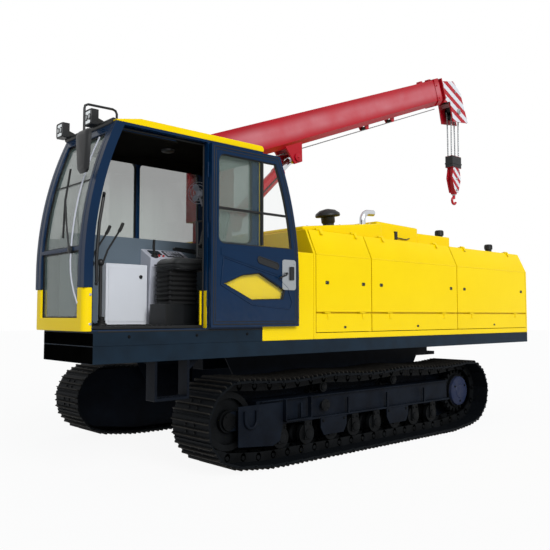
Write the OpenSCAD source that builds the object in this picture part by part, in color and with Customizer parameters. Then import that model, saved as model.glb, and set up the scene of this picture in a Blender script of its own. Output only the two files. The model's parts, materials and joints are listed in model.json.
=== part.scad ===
// Tracked pipelayer carrier: cab, engine hood and a telescopic loader crane on one fixed deck.
// Frame: +X forward, +Y to the machine's left, +Z up, origin under the middle of the whole machine.

/* [Deck] */
// Length of the deck from its front edge to its rear edge
deck_l = 7240; // [6800:10:7600]
// Half of the deck's width
deck_half_w = 1560; // [1500:5:1580]
// Length of the deck's arm that carries the front of the cab
deck_arm_l = 1220; // [1000:10:1400]
// Height of the deck's underside above the ground
deck_z = 1120; // [1080:5:1180]
// Height of the deck's skirt
deck_h = 145; // [120:5:180]

/* [Tracks] */
// Distance between the middles of the two tracks
gauge = 2640; // [2500:10:2640]
// Width of a track shoe
shoe_w = 600; // [500:10:600]
// Distance between idler axle and sprocket axle
axle_span = 4018; // [3800:10:4200]
// Radius of the chain's pin line round idler and sprocket
pin_r = 355; // [330:5:370]
// Number of shoes on each track
shoe_count = 51; // [46:1:54]
// Height of the bottom run's lift at the two ends
end_rise = 45; // [30:5:60]
// Distance from the deck's front edge back to the middle of the tracks
track_setback = 3540; // [3400:10:3700]

/* [Cab] */
// Length of the cab along the machine
cab_l = 1920; // [1800:10:2000]
// Width of the cab
cab_w = 960; // [900:10:1000]
// Height of the cab's base box on the deck
cab_base_h = 125; // [100:5:150]
// Height of the cab from its base to the top of the roof
cab_h = 1845; // [1700:5:1900]
// Thickness of the cab's walls
cab_wall = 60; // [50:1:70]
// Radius of the swept front pillars
front_sweep_r = 3100; // [2600:50:3400]
// How far the cab's nose stands ahead of the deck
nose_out = 90; // [60:5:110]
// Width of the door opening
door_open_w = 1080; // [1000:10:1100]

/* [Hood] */
// Height of the side crease above the ground
crease_z = 2190; // [2100:5:2220]
// Height of the hood's flat top above the ground
hood_top_z = 2465; // [2450:5:2490]
// How far the hood's top edge lies in from its side
hood_slope_in = 130; // [110:5:160]
// Length of the crane bay between cab and hood
bay_l = 730; // [700:5:760]
// Thickness of the hood's panels
panel_t = 30; // [24:1:36]

/* [Crane] */
// Elevation of the boom at rest, in degrees
boom_rest = 21; // [15:0.5:25]
// Length of the boom's base section
boom_base_l = 5010; // [4700:10:5200]
// Height of the boom's base section
boom_h = 400; // [380:5:420]
// Width of the boom's base section
boom_w = 310; // [290:5:330]
// Wall of each boom section
boom_wall = 12; // [10:1:14]
// Running gap between two boom sections
boom_gap = 12; // [10:1:14]
// Height of the boom's foot pin above the ground
foot_z = 3415; // [3300:5:3500]
// Distance of the crane from the machine's middle line, to the left
crane_y = 250; // [200:5:270]
// Distance from the deck's front edge back to the crane's turning axis
crane_setback = 2180; // [2100:5:2200]

/* [Hidden] */

// Overrun of every cut past the faces that it opens
cut = 20;
// Clearance of a seated piece from its seat
seat_gap = 0.3;
// Clearance of a moving panel from the frame round it
door_gap = 8;
// Facets of true circles
$fn = 96;

// Crane places, measured back from the deck's front edge
foot_ahead = 140;
head_plate_l = 585;
head_low = 650;
tip_out = 120;
boom_reach = boom_base_l + tip_out + head_plate_l;
head_back = boom_reach * cos(boom_rest) + head_low * sin(boom_rest) - foot_ahead;

// Overall length at rest, from the cab's nose to the boom's head
overall_l = crane_setback + head_back + nose_out;
deck_front_x = overall_l / 2 - nose_out;
deck_rear_x = deck_front_x - deck_l;
crane_x = deck_front_x - crane_setback;
track_mid_x = deck_front_x - track_setback;

// Deck and cab levels
deck_top = deck_z + deck_h;
base_top = deck_top + cab_base_h;
roof_z = base_top + cab_h;
roof_t = 60;
roof_under = roof_z - roof_t;
cab_nose_x = deck_front_x + nose_out;
cab_rear_x = cab_nose_x - cab_l;
cab_left_y = deck_half_w;
cab_right_y = cab_left_y - cab_w;
sweep_rise = 510;
sweep_z = base_top + sweep_rise;
door_front_in = 150;
hinge_x = cab_nose_x - door_front_in - door_open_w;

// Hood places
hood_front_x = cab_rear_x - bay_l;
hood_y = deck_half_w;
hood_top_y = hood_y - hood_slope_in;
flap_lift = 75;
flap_h = 200;
flap_z0 = deck_top + flap_lift;
flap_z1 = flap_z0 + flap_h;
flap_seam = 20;
door_z0 = flap_z1 + flap_seam;

// Shares of the hood's length at which its doors meet, from the front
seam_shares = [0, 0.206, 0.59, 1];
function seam_x(i) = hood_front_x - seam_shares[i] * (hood_front_x - deck_rear_x);

// A box between two corners given by their ranges
module block(x, y, z) {
    translate([x[0], y[0], z[0]])
        cube([x[1] - x[0], y[1] - y[0], z[1] - z[0]]);
}

// A side outline in X and Z, given thickness between two Y planes
module side_plate(y) {
    translate([0, y[1], 0])
        rotate([90, 0, 0])
            linear_extrude(y[1] - y[0])
                children();
}

// A cross outline in Y and Z, given length between two X planes
module cross_plate(x) {
    translate([x[0], 0, 0])
        rotate([90, 0, 90])
            linear_extrude(x[1] - x[0])
                children();
}

// A cylinder along Y between two Y planes
module axle(x, z, r, y) {
    translate([x, y[1], z])
        rotate([90, 0, 0])
            cylinder(r = r, h = y[1] - y[0]);
}

// Both sides of the machine
module both_sides() {
    children();
    mirror([0, 1, 0])
        children();
}

// Track loop

// Pin line above the ground, shoe heights above the pin line and chain depth below it
grouser_h = 26;
shoe_top = 60;
plate_t = 16;
chain_in = 52;
chain_w = 190;
bottom_z = grouser_h + shoe_top;
axle_z = bottom_z + pin_r + end_rise;
idler_x = track_mid_x + axle_span / 2;
sprocket_x = track_mid_x - axle_span / 2;
flat_end = 420;
flat_half = axle_span / 2 - flat_end;
arc_steps = 16;

// Angle of the line that rises from the end of the flat run to the idler
rise_reach = axle_span / 2 - flat_half;
rise_dist = norm([rise_reach, pin_r + end_rise]);
rise_angle = atan2(pin_r + end_rise, rise_reach) - asin(pin_r / rise_dist);

// Points of the pin line, going forward along the ground and back along the top
loop_arc = [for (i = [0:arc_steps]) -90 + rise_angle + i * (180 - rise_angle) / arc_steps];
loop_front = [for (a = loop_arc) [axle_span / 2 + pin_r * cos(a), axle_z + pin_r * sin(a)]];
loop_rear = [for (i = [0:arc_steps]) [-loop_front[arc_steps - i][0], loop_front[arc_steps - i][1]]];
loop_line = concat([[-flat_half, bottom_z], [flat_half, bottom_z]], loop_front, loop_rear, [[-flat_half, bottom_z]]);
loop_n = len(loop_line) - 1;
loop_len = [for (i = [0:loop_n - 1]) norm(loop_line[i + 1] - loop_line[i])];
loop_sum = [for (i = 0, s = 0; i <= loop_n; s = s + (i < loop_n ? loop_len[i] : 0), i = i + 1) s];
pitch = loop_sum[loop_n] / shoe_count;

// The point of the pin line at a distance along it
function loop_at(s) =
    let (i = max([for (k = [0:loop_n - 1]) if (loop_sum[k] <= s) k]))
    loop_line[i] + (s - loop_sum[i]) / loop_len[i] * (loop_line[i + 1] - loop_line[i]);

pins = [for (i = [0:shoe_count - 1]) loop_at(i * pitch)];
function pin(i) = pins[i % shoe_count];
function chord(i) = (pin(i + 1) - pin(i)) / norm(pin(i + 1) - pin(i));
function shoe_point(i, along, out) =
    let (d = chord(i))
    pin(i) + along * norm(pin(i + 1) - pin(i)) * d + out * [d[1], -d[0]];

// Shoe profile: share of the pitch along the shoe, share of the grouser's height
shoe_shares = [[0, -0.5], [0.04, 0], [0.1, 0], [0.15, 1], [0.21, 0], [0.44, 0], [0.5, 1], [0.56, 0],
    [0.79, 0], [0.85, 1], [0.9, 0], [0.96, 0]];
shoe_outline = [for (i = [0:shoe_count - 1]) for (p = shoe_shares) shoe_point(i, p[0], shoe_top + p[1] * grouser_h)];

// Corner of a ring that runs beside the pin line: the links' edges meet on the bisector at each pin
function out_normal(i) = let (d = chord(i)) [d[1], -d[0]];
function ring_point(i, out) =
    let (a = out_normal(i + shoe_count - 1), b = out_normal(i), m = (a + b) / norm(a + b))
    pin(i) + out / (m * b) * m;
function ring_outline(out) = [for (i = [0:shoe_count - 1]) ring_point(i, out)];

module track(y) {
    color("#26262a")
        translate([track_mid_x, 0, 0])
            difference() {
                union() {
                    side_plate([y - shoe_w / 2, y + shoe_w / 2])
                        polygon(shoe_outline);
                }
                for (side = [-1, 1])
                    side_plate([y + side * (chain_w + shoe_w) / 4 - (shoe_w - chain_w) / 4 - (side < 0 ? cut : 0),
                        y + side * (chain_w + shoe_w) / 4 + (shoe_w - chain_w) / 4 + (side > 0 ? cut : 0)])
                        polygon(ring_outline(shoe_top - plate_t));
                side_plate([y - shoe_w, y + shoe_w])
                    polygon(ring_outline(-chain_in));
            }
}

module track_left() {
    track(gauge / 2);
}

module track_right() {
    track(-gauge / 2);
}

// Side frames with the idler forks

frame_w = 230;
frame_z0 = 400;
frame_z1 = 655;
fork_t = 26;
fork_gap = 6;
idler_in = 20;
idler_w = chain_w - 2 * idler_in;
// The chain turns round the wheels as straight links, so their rims lie inside the links
rim_clear = 3;
idler_r = pin_r * cos(asin(pitch / 2 / pin_r)) - chain_in - rim_clear;
end_clear = 40;
frame_x0 = sprocket_x + idler_r + end_clear;
frame_x1 = idler_x - idler_r - end_clear;
fork_y = idler_w / 2 + fork_gap;
ledge_out = 40;
ledge_t = 24;
axle_r = 55;
yoke_r = 95;

module track_frames() {
    color("#222226")
        both_sides()
            translate([0, gauge / 2, 0])
                difference() {
                    union() {
                        block([frame_x0, frame_x1], [-frame_w / 2, frame_w / 2], [frame_z0, frame_z1]);
                        block([frame_x0, frame_x1], [frame_w / 2, frame_w / 2 + ledge_out], [frame_z0, frame_z0 + ledge_t]);
                        for (side = [-1, 1])
                            block([frame_x1 - cut, idler_x], [min(side * fork_y, side * (fork_y + fork_t)),
                                max(side * fork_y, side * (fork_y + fork_t))], [axle_z - yoke_r, axle_z + yoke_r]);
                        block([sprocket_x, frame_x0 + cut], [-frame_w / 2, -frame_w / 2 + fork_t],
                            [axle_z - yoke_r, axle_z + yoke_r]);
                    }
                    axle(idler_x, axle_z, axle_r + seat_gap, [-frame_w, frame_w]);
                    axle(sprocket_x, axle_z, axle_r + seat_gap, [-frame_w, frame_w]);
                }
}

// Idlers: rim, web and axle in one revolve

rim_t = 60;
web_t = 50;
hub_r = 110;

module idlers() {
    color("#2b2b2f")
        both_sides()
            translate([idler_x, gauge / 2, axle_z])
                rotate([90, 0, 0])
                    rotate_extrude()
                        polygon([[0, -fork_y - fork_t], [axle_r, -fork_y - fork_t], [axle_r, -idler_w / 2],
                            [hub_r, -idler_w / 2], [hub_r, -web_t / 2], [idler_r - rim_t, -web_t / 2],
                            [idler_r - rim_t, -idler_w / 2], [idler_r, -idler_w / 2], [idler_r, idler_w / 2],
                            [idler_r - rim_t, idler_w / 2], [idler_r - rim_t, web_t / 2], [hub_r, web_t / 2],
                            [hub_r, idler_w / 2], [axle_r, idler_w / 2], [axle_r, fork_y + fork_t],
                            [0, fork_y + fork_t]]);
}

// Sprockets with their final drives: tooth ring, hub and round outer cover

tooth_count = 21;
tooth_h = 46;
sprocket_t = 70;
drive_r = 215;
cover_r = 165;
drive_in = 88;
drive_out = 70;
cover_out = 100;

module sprockets() {
    color("#3a4046")
        both_sides()
            translate([sprocket_x, gauge / 2, axle_z])
                rotate([90, 0, 0])
                    union() {
                        translate([0, 0, -sprocket_t / 2])
                            linear_extrude(sprocket_t)
                                polygon([for (i = [0:4 * tooth_count - 1])
                                    let (a = i * 90 / tooth_count)
                                    (idler_r - (i % 4 < 2 ? 0 : tooth_h)) * [cos(a), sin(a)]]);
                        translate([0, 0, -drive_out])
                            cylinder(r = drive_r, h = drive_out + drive_in - fork_gap);
                        translate([0, 0, -cover_out])
                            cylinder(r = cover_r, h = cover_out);
                        cylinder(r = axle_r, h = frame_w / 2);
                    }
}

// Rollers: flanged spools on axles held by cheeks of the side frame

roller_r = 112;
roller_flange = 20;
roller_w = 210;
roller_count = 8;
roller_z = bottom_z + chain_in + seat_gap + roller_r;
cheek_t = 24;
roller_end = 250;
roller_step = (2 * flat_half - 2 * roller_end) / (roller_count - 1);
carrier_r = 58;
carrier_w = 170;
carrier_z = axle_z + pin_r - chain_in - seat_gap - carrier_r;
carrier_shares = [0.356, 0.668];

module roller(r, w, flange) {
    rotate([90, 0, 0])
        rotate_extrude()
            polygon([[0, -w / 2], [r, -w / 2], [r, -w / 4], [r - flange, -w / 8], [r - flange, w / 8],
                [r, w / 4], [r, w / 2], [0, w / 2]]);
}

module track_rollers() {
    color("#2b2b2f")
        both_sides()
            for (i = [0:roller_count - 1])
                translate([track_mid_x - flat_half + roller_end + i * roller_step, gauge / 2, 0])
                    union() {
                        translate([0, 0, roller_z])
                            roller(roller_r, roller_w, roller_flange);
                        for (side = [-1, 1])
                            translate([0, side * (roller_w + cheek_t) / 2, 0])
                                block([-axle_r, axle_r], [-cheek_t / 2, cheek_t / 2], [roller_z - axle_r, frame_z0]);
                    }
}

module carrier_rollers() {
    color("#2b2b2f")
        both_sides()
            for (share = carrier_shares)
                translate([sprocket_x + share * axle_span, gauge / 2, 0])
                    union() {
                        translate([0, 0, carrier_z])
                            roller(carrier_r, carrier_w, roller_flange / 2);
                        translate([0, -carrier_w / 2 - cheek_t / 2, 0])
                            block([-carrier_r, carrier_r], [-cheek_t / 2, cheek_t / 2], [frame_z1, carrier_z + axle_r / 2]);
                    }
}

// Car body: middle box, four legs to the side frames and long beams under the deck

body_half_l = 950;
body_in = 600;
body_half_w = gauge / 2 - body_in;
body_z0 = 520;
leg_half_l = 190;
leg_z0 = 440;
leg_z1 = 640;
leg_x = 650;
beam_y = 520;
beam_w = 190;
beam_h = 190;
beam_front = 1750;
beam_rear = 2420;
tow_eye_r = 32;
tow_plate_t = 50;
tow_plate_l = 190;

module car_body() {
    color("#1d1d21")
        translate([track_mid_x, 0, 0])
            block([-body_half_l, body_half_l], [-body_half_w, body_half_w], [body_z0, deck_z]);
}

module car_legs() {
    color("#1d1d21")
        both_sides()
            for (x = [track_mid_x - leg_x, track_mid_x + leg_x])
                block([x - leg_half_l, x + leg_half_l], [body_half_w, gauge / 2 - frame_w / 2], [leg_z0, leg_z1]);
}

module deck_beams() {
    color("#1d1d21")
        translate([track_mid_x, 0, 0])
            both_sides()
                for (x = [[-beam_rear, -body_half_l], [body_half_l, beam_front]])
                    block(x, [beam_y - beam_w / 2, beam_y + beam_w / 2], [deck_z - beam_h, deck_z]);
}

// Cross plate at the rear ends of the beams, with the recovery eye
module tow_plate() {
    color("#1d1d21")
        translate([track_mid_x - beam_rear, 0, deck_z - beam_h])
            difference() {
                block([-tow_plate_l, -seat_gap], [-beam_y - beam_w / 2, beam_y + beam_w / 2], [0, tow_plate_t]);
                translate([-tow_plate_l / 2, 0, -cut])
                    cylinder(r = tow_eye_r, h = tow_plate_t + 2 * cut);
            }
}

// Deck: a closed box as wide as the hood, with an arm at the front left that carries the cab
arm_front_x = deck_front_x - deck_arm_l;

module deck_plan() {
    polygon([[deck_rear_x, -deck_half_w], [arm_front_x, -deck_half_w], [arm_front_x, cab_right_y],
        [deck_front_x, cab_right_y], [deck_front_x, deck_half_w], [deck_rear_x, deck_half_w]]);
}

module deck_frame() {
    color("#20222e")
        translate([0, 0, deck_z])
            linear_extrude(deck_h)
                deck_plan();
}

// Boarding step hung under the deck's left edge

step_ahead = 406;
step_x = idler_x + pin_r + step_ahead;
step_w = 340;
step_drop = 350;
step_t = 24;
step_depth = 150;

module boarding_step() {
    color("#20222e")
        translate([step_x, deck_half_w, deck_z])
            union() {
                for (side = [-1, 1])
                    block([side * step_w / 2 - step_t / 2, side * step_w / 2 + step_t / 2], [-step_depth, 0], [-step_drop, 0]);
                block([-step_w / 2, step_w / 2], [-step_depth, 0], [-step_drop, -step_drop + step_t]);
            }
}

// Cab

module cab_base() {
    color("#20222e")
        block([cab_rear_x, deck_front_x], [cab_right_y, cab_left_y], [deck_top, base_top]);
}

floor_t = 40;

// Side outline of the cab, pulled in by a distance, with its lower edge raised and its upper edge dropped
module cab_outline(inset, up, down) {
    union() {
        translate([cab_rear_x + inset, base_top + up])
            square([cab_l - 2 * inset, sweep_z - base_top - up]);
        intersection() {
            translate([cab_rear_x + inset, sweep_z - cut])
                square([cab_l - inset, roof_under - sweep_z + cut - down]);
            translate([cab_nose_x - front_sweep_r, sweep_z])
                circle(r = front_sweep_r - inset, $fn = 360);
        }
    }
}

// Door opening, or the door that fills it less a gap
pillar_w = 110;
front_pillar_w = 80;
sill_h = 12;
header_h = 24;

module door_outline(gap) {
    intersection() {
        cab_outline(front_pillar_w + gap, sill_h + gap, header_h + gap);
        translate([hinge_x + gap, base_top + sill_h + gap])
            square([door_open_w + pillar_w, roof_under - header_h - base_top - sill_h - 2 * gap]);
    }
}

window_rise = 830;
window_z0 = base_top + window_rise;
rear_pillar = 140;

// An upright window with round corners, pulled in by a distance
window_r = 70;

module window_outline(a, b, inset) {
    r = window_r - inset;
    union() {
        translate([a[0] + window_r, b[0] + inset])
            square([a[1] - a[0] - 2 * window_r, b[1] - b[0] - 2 * inset]);
        translate([a[0] + inset, b[0] + window_r])
            square([a[1] - a[0] - 2 * inset, b[1] - b[0] - 2 * window_r]);
        for (x = [a[0] + window_r, a[1] - window_r])
            for (z = [b[0] + window_r, b[1] - window_r])
                translate([x, z])
                    circle(r = r);
    }
}

quarter_x = [cab_rear_x + rear_pillar, hinge_x - pillar_w];
window_head = 90;
quarter_z = [window_z0, roof_under - window_head];

module cab_left_wall() {
    color("#232a3c")
        union() {
            side_plate([cab_left_y - cab_wall, cab_left_y])
                difference() {
                    cab_outline(0, 0, 0);
                    door_outline(0);
                    window_outline(quarter_x, quarter_z, 0);
                    nose_corner();
                }
            pillar_knuckles();
        }
}

right_split_in = 1020;
right_split_x = cab_nose_x - right_split_in;
divider_w = 40;

module right_windows(inset) {
    intersection() {
        cab_outline(front_pillar_w + inset, cab_wall, cab_wall);
        union() {
            window_outline([cab_rear_x + rear_pillar, right_split_x - divider_w / 2], quarter_z, inset);
            window_outline([right_split_x + divider_w / 2, cab_nose_x + window_r], quarter_z, inset);
        }
    }
}

module cab_right_wall() {
    color("#232a3c")
        side_plate([cab_right_y, cab_right_y + cab_wall])
            difference() {
                cab_outline(0, 0, 0);
                right_windows(0);
                nose_corner();
            }
}

// Front wall between the side walls: pillars, crossbar and header, with the yellow nose panel below
nose_h = 360;
nose_top = base_top + nose_h;
bar_rise = 670;
bar_h = 36;
bar_z0 = base_top + bar_rise;
bar_z1 = bar_z0 + bar_h;
front_pillar = 60;
glass_t = 8;
front_in_y = [cab_right_y + cab_wall, cab_left_y - cab_wall];
screen_y = [front_in_y[0] + front_pillar, front_in_y[1] - front_pillar];
nose_sill = 110;
nose_glass_z = base_top + nose_sill;

module front_skin(inset, t) {
    difference() {
        cab_outline(inset, inset, inset);
        cab_outline(inset + t, inset + t, inset + t);
        translate([cab_rear_x - cut, base_top - cut])
            square([cab_l / 2, cab_h]);
        translate([cab_rear_x - cut, base_top - cut])
            square([cab_l - cab_wall + cut, cut + cab_wall]);
        translate([cab_rear_x - cut, roof_under - cab_wall])
            square([cab_l / 2 + cab_wall, cut + cab_wall]);
    }
}

module cab_front_frame() {
    color("#1c2230")
        difference() {
            side_plate(front_in_y)
                difference() {
                    front_skin(0, cab_wall);
                    translate([cab_rear_x, base_top - cut])
                        square([cab_l + cut, nose_top - base_top + cut]);
                }
            block([cab_rear_x, cab_nose_x + cut], screen_y, [nose_top - cut, bar_z0]);
            block([cab_rear_x, cab_nose_x + cut], screen_y, [bar_z1, roof_under - window_head]);
        }
}

// Nose panel: a bent sheet with round corners that wraps onto both side walls
corner_l = 74;
corner_r = 55;

module nose_plan(inset) {
    translate([0, cab_right_y + inset])
        square([cab_nose_x - corner_r, cab_w - 2 * inset]);
    translate([0, cab_right_y + corner_r])
        square([cab_nose_x - inset, cab_w - 2 * corner_r]);
    for (y = [cab_right_y + corner_r, cab_left_y - corner_r])
        translate([cab_nose_x - corner_r, y])
            circle(r = corner_r - inset);
}

module cab_nose_panel() {
    color("#e8b400")
        difference() {
            intersection() {
                translate([0, 0, base_top])
                    linear_extrude(nose_top - base_top)
                        nose_plan(0);
                block([cab_nose_x - corner_l, cab_nose_x], [cab_right_y, cab_left_y], [base_top, nose_top]);
            }
            block([cab_rear_x, cab_nose_x - cab_wall], front_in_y, [base_top - cut, nose_top + cut]);
            block([cab_nose_x - cab_l, cab_nose_x + cut], screen_y, [nose_glass_z, nose_top + cut]);
        }
}

// Lower front corner of a side wall, given over to the nose panel
module nose_corner() {
    translate([cab_nose_x - corner_l, base_top - cut])
        square([corner_l + cut, nose_top - base_top + cut]);
}

module cab_rear_wall() {
    color("#e0ac00")
        difference() {
            block([cab_rear_x, cab_rear_x + cab_wall], front_in_y, [base_top, roof_under]);
            block([cab_rear_x - cut, cab_rear_x + cab_wall + cut], screen_y, quarter_z);
        }
}

module cab_floor() {
    color("#2a2a2d")
        block([cab_rear_x + cab_wall, cab_nose_x - cab_wall], front_in_y, [base_top, base_top + floor_t]);
}

roof_over = 16;
roof_front_in = front_sweep_r - sqrt(pow(front_sweep_r, 2) - pow(roof_under - sweep_z, 2));
roof_slope_l = 240;
roof_lip = 14;
roof_ease = 25;

module cab_roof() {
    color("#f0bb00")
        side_plate([cab_right_y - roof_over, cab_left_y])
            polygon([[cab_rear_x - roof_over, roof_under], [cab_rear_x - roof_over, roof_z - roof_ease],
                [cab_rear_x - roof_over + roof_ease, roof_z], [cab_nose_x - roof_front_in - roof_slope_l, roof_z],
                [cab_nose_x - roof_front_in, roof_under + roof_lip], [cab_nose_x - roof_front_in, roof_under]]);
}

// All fixed panes, each seated in the middle of its opening
module cab_glass() {
    color("#9fc0b8")
        union() {
            intersection() {
                side_plate([screen_y[0] + seat_gap, screen_y[1] - seat_gap])
                    front_skin(cab_wall / 2, glass_t);
                block([cab_rear_x, cab_nose_x], screen_y, [bar_z1 + seat_gap, roof_under - window_head - seat_gap]);
            }
            block([cab_nose_x - cab_wall / 2 - glass_t, cab_nose_x - cab_wall / 2],
                [screen_y[0] + seat_gap, screen_y[1] - seat_gap], [nose_glass_z + seat_gap, bar_z0 - seat_gap]);
            block([cab_rear_x + cab_wall / 2, cab_rear_x + cab_wall / 2 + glass_t],
                [screen_y[0] + seat_gap, screen_y[1] - seat_gap], [quarter_z[0] + seat_gap, quarter_z[1] - seat_gap]);
            side_plate([cab_left_y - cab_wall / 2, cab_left_y - cab_wall / 2 + glass_t])
                window_outline(quarter_x, quarter_z, seat_gap);
            side_plate([cab_right_y + cab_wall / 2, cab_right_y + cab_wall / 2 + glass_t])
                right_windows(seat_gap);
        }
}

// Cab door, lying open against the cab's flank: its outline is the opening's, turned about the hinge line
door_t = 40;
hinge_out = 8;
door_y = [cab_left_y + 2 * hinge_out, cab_left_y + 2 * hinge_out + door_t];
door_frame_w = 85;
door_rail_down = 20;
door_rail_z = window_z0 - door_rail_down;
// Slanted lower pane: shares of the opening's width and of the cab's height
low_window_shares = [[0.14, 0.235], [0.36, 0.285], [0.56, 0.3], [0.88, 0.21], [0.85, 0.158], [0.47, 0.15]];

module open_door_side() {
    translate([2 * hinge_x, 0])
        mirror([1, 0])
            children();
}

// Hinge knuckles on the door's turning line: a long one on the pillar between two short ones on the door
knuckle_r = hinge_out - 2 * seat_gap;
knuckle_h = 70;
knuckle_leaf = 24;
knuckle_shares = [0.14, 0.5, 0.82];
function knuckle_z(share) = base_top + share * (roof_under - base_top);

module pillar_knuckles() {
    for (share = knuckle_shares)
        translate([hinge_x, cab_left_y + hinge_out, knuckle_z(share)])
            union() {
                cylinder(r = knuckle_r, h = knuckle_h);
                block([-knuckle_leaf, 0], [-hinge_out, 0], [0, knuckle_h]);
            }
}

module door_knuckles() {
    for (share = knuckle_shares)
        for (up = [-knuckle_h / 2 - seat_gap, knuckle_h + seat_gap])
            translate([hinge_x, cab_left_y + hinge_out, knuckle_z(share) + up])
                union() {
                    cylinder(r = knuckle_r, h = knuckle_h / 2);
                    block([-knuckle_leaf, 0], [0, hinge_out], [0, knuckle_h / 2]);
                    block([-knuckle_leaf, -door_gap], [0, hinge_out + knuckle_r], [0, knuckle_h / 2]);
                }
}

module door_windows(inset) {
    intersection() {
        cab_outline(front_pillar_w + door_gap + door_frame_w + inset, cab_wall, cab_wall);
        union() {
            window_outline([hinge_x + door_gap + door_frame_w, cab_nose_x + window_r],
                [door_rail_z, roof_under - header_h - door_gap - door_frame_w], inset);
            offset(delta = -inset)
                polygon([for (p = low_window_shares) [hinge_x + p[0] * door_open_w, base_top + p[1] * cab_h]]);
        }
    }
}

module cab_door() {
    color("#27304a")
        union() {
            side_plate(door_y)
                open_door_side()
                    difference() {
                        door_outline(door_gap);
                        door_windows(0);
                    }
            door_knuckles();
        }
}

module cab_door_glass() {
    color("#9fc0b8")
        side_plate([door_y[0] + door_t / 2 - glass_t / 2, door_y[0] + door_t / 2 + glass_t / 2])
            open_door_side()
                door_windows(seat_gap);
}

// Cab inside

seat_ahead = 610;
seat_x = cab_rear_x + seat_ahead;
seat_y = (cab_left_y + cab_right_y) / 2;
seat_half_w = 200;
post_half_w = 140;
// Reach of the seat box and of its suspension, as shares of the cushion's length
box_shares = [0.2, 0.62];
post_shares = [-0.12, 0.5];
seat_base_h = 530;
seat_box_h = 200;
cushion_t = 100;
cushion_l = 500;
back_h = 640;
back_t = 120;
back_tilt = 10;

module seat_base() {
    color("#1a1a1c")
        translate([seat_x, seat_y, base_top + floor_t])
            union() {
                block(cushion_l * box_shares, [-post_half_w, post_half_w], [0, seat_box_h]);
                block(cushion_l * post_shares, [-post_half_w + cut, post_half_w - cut], [seat_box_h - cut, seat_base_h]);
                block([cushion_l * post_shares[0], cushion_l * box_shares[0] + cut], [-post_half_w + cut, post_half_w - cut],
                    [0, seat_base_h]);
            }
}

module seat() {
    color("#222225")
        translate([seat_x, seat_y, base_top + floor_t + seat_base_h])
            union() {
                block([-cushion_l / 2, cushion_l / 2], [-seat_half_w, seat_half_w], [0, cushion_t]);
                translate([-cushion_l / 2 + cut - back_t, 0, cushion_t / 2])
                    rotate([0, -back_tilt, 0])
                        block([0, back_t], [-seat_half_w + cut, seat_half_w - cut], [0, back_h]);
            }
}

console_l = 490;
console_w = 200;
console_h = 770;
console_ahead = 10;
// Cross outline of the console: a foot, a front that leans out and a desk that slopes to the driver
console_shares = [[0, 0], [0.78, 0], [1, 0.85], [0.96, 0.87], [0, 1]];

module console() {
    color("#b9bec2")
        translate([seat_x + console_ahead - console_l / 2, cab_right_y + cab_wall, base_top + floor_t])
            cross_plate([0, console_l])
                polygon([for (p = console_shares) [p[0] * console_w, p[1] * console_h]]);
}

cabinet_ahead = 270;
cabinet_l = 450;
cabinet_w = 160;
cabinet_h = 590;

module cabinet() {
    color("#e9e9e6")
        translate([seat_x + cabinet_ahead, cab_right_y + cab_wall, base_top + floor_t])
            block([0, cabinet_l], [0, cabinet_w], [0, cabinet_h]);
}

lever_r = 16;
lever_h = 560;
lever_in = 350;
lever_x = cab_nose_x - lever_in;
lever_apart = 180;
pedal_w = 90;

module control_levers() {
    color("#1c1c1e")
        for (side = [-1, 1])
            translate([lever_x, seat_y + side * lever_apart / 2, base_top + floor_t])
                union() {
                    cylinder(r = lever_r, h = lever_h);
                    block([-pedal_w / 2, pedal_w / 2], [-pedal_w / 2, pedal_w / 2], [0, lever_r]);
                    translate([0, 0, lever_h])
                        sphere(r = 2 * lever_r);
                }
}

// Height of the sloped roof front, below the level roof, at a distance behind the front edge
function roof_line(d) = roof_lip - roof_t + d * (roof_t - roof_lip) / roof_slope_l;

roof_front_x = cab_nose_x - roof_front_in;
lamp_out = 60;
lamp_up = 20;
lamp_half_t = 35;
lamp_half_w = 65;
lamp_half_h = 70;
lamp_left_in = 340;
lamp_right_in = 50;
bracket_half_w = 20;
bracket_rear = 100;
bracket_front = 30;
bracket_t = 20;

module work_lamps() {
    color("#17181a")
        for (y = [cab_right_y + lamp_right_in, cab_left_y - lamp_left_in])
            translate([roof_front_x, y, roof_z])
                union() {
                    side_plate([-bracket_half_w, bracket_half_w])
                        polygon([[-bracket_rear, roof_line(bracket_rear)], [-bracket_rear, roof_line(bracket_rear) + bracket_t],
                            [lamp_out - bracket_t, lamp_up + bracket_t], [lamp_out, lamp_up + bracket_t],
                            [lamp_out, lamp_up - bracket_t], [-bracket_front, roof_line(bracket_front)]]);
                    block([lamp_out - lamp_half_t, lamp_out + lamp_half_t], [-lamp_half_w, lamp_half_w],
                        [lamp_up - lamp_half_h, lamp_up + lamp_half_h]);
                }
}

// Mirror on a tube bracket that rises from the roof front and loops forward
mirror_in = 120;
mirror_half_w = 115;
mirror_h = 360;
mirror_t = 40;
mirror_back = 30;
mirror_drop = 165;
mirror_tube_r = 11;
mirror_loop_z = 130;
mirror_foot = 55;

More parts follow.
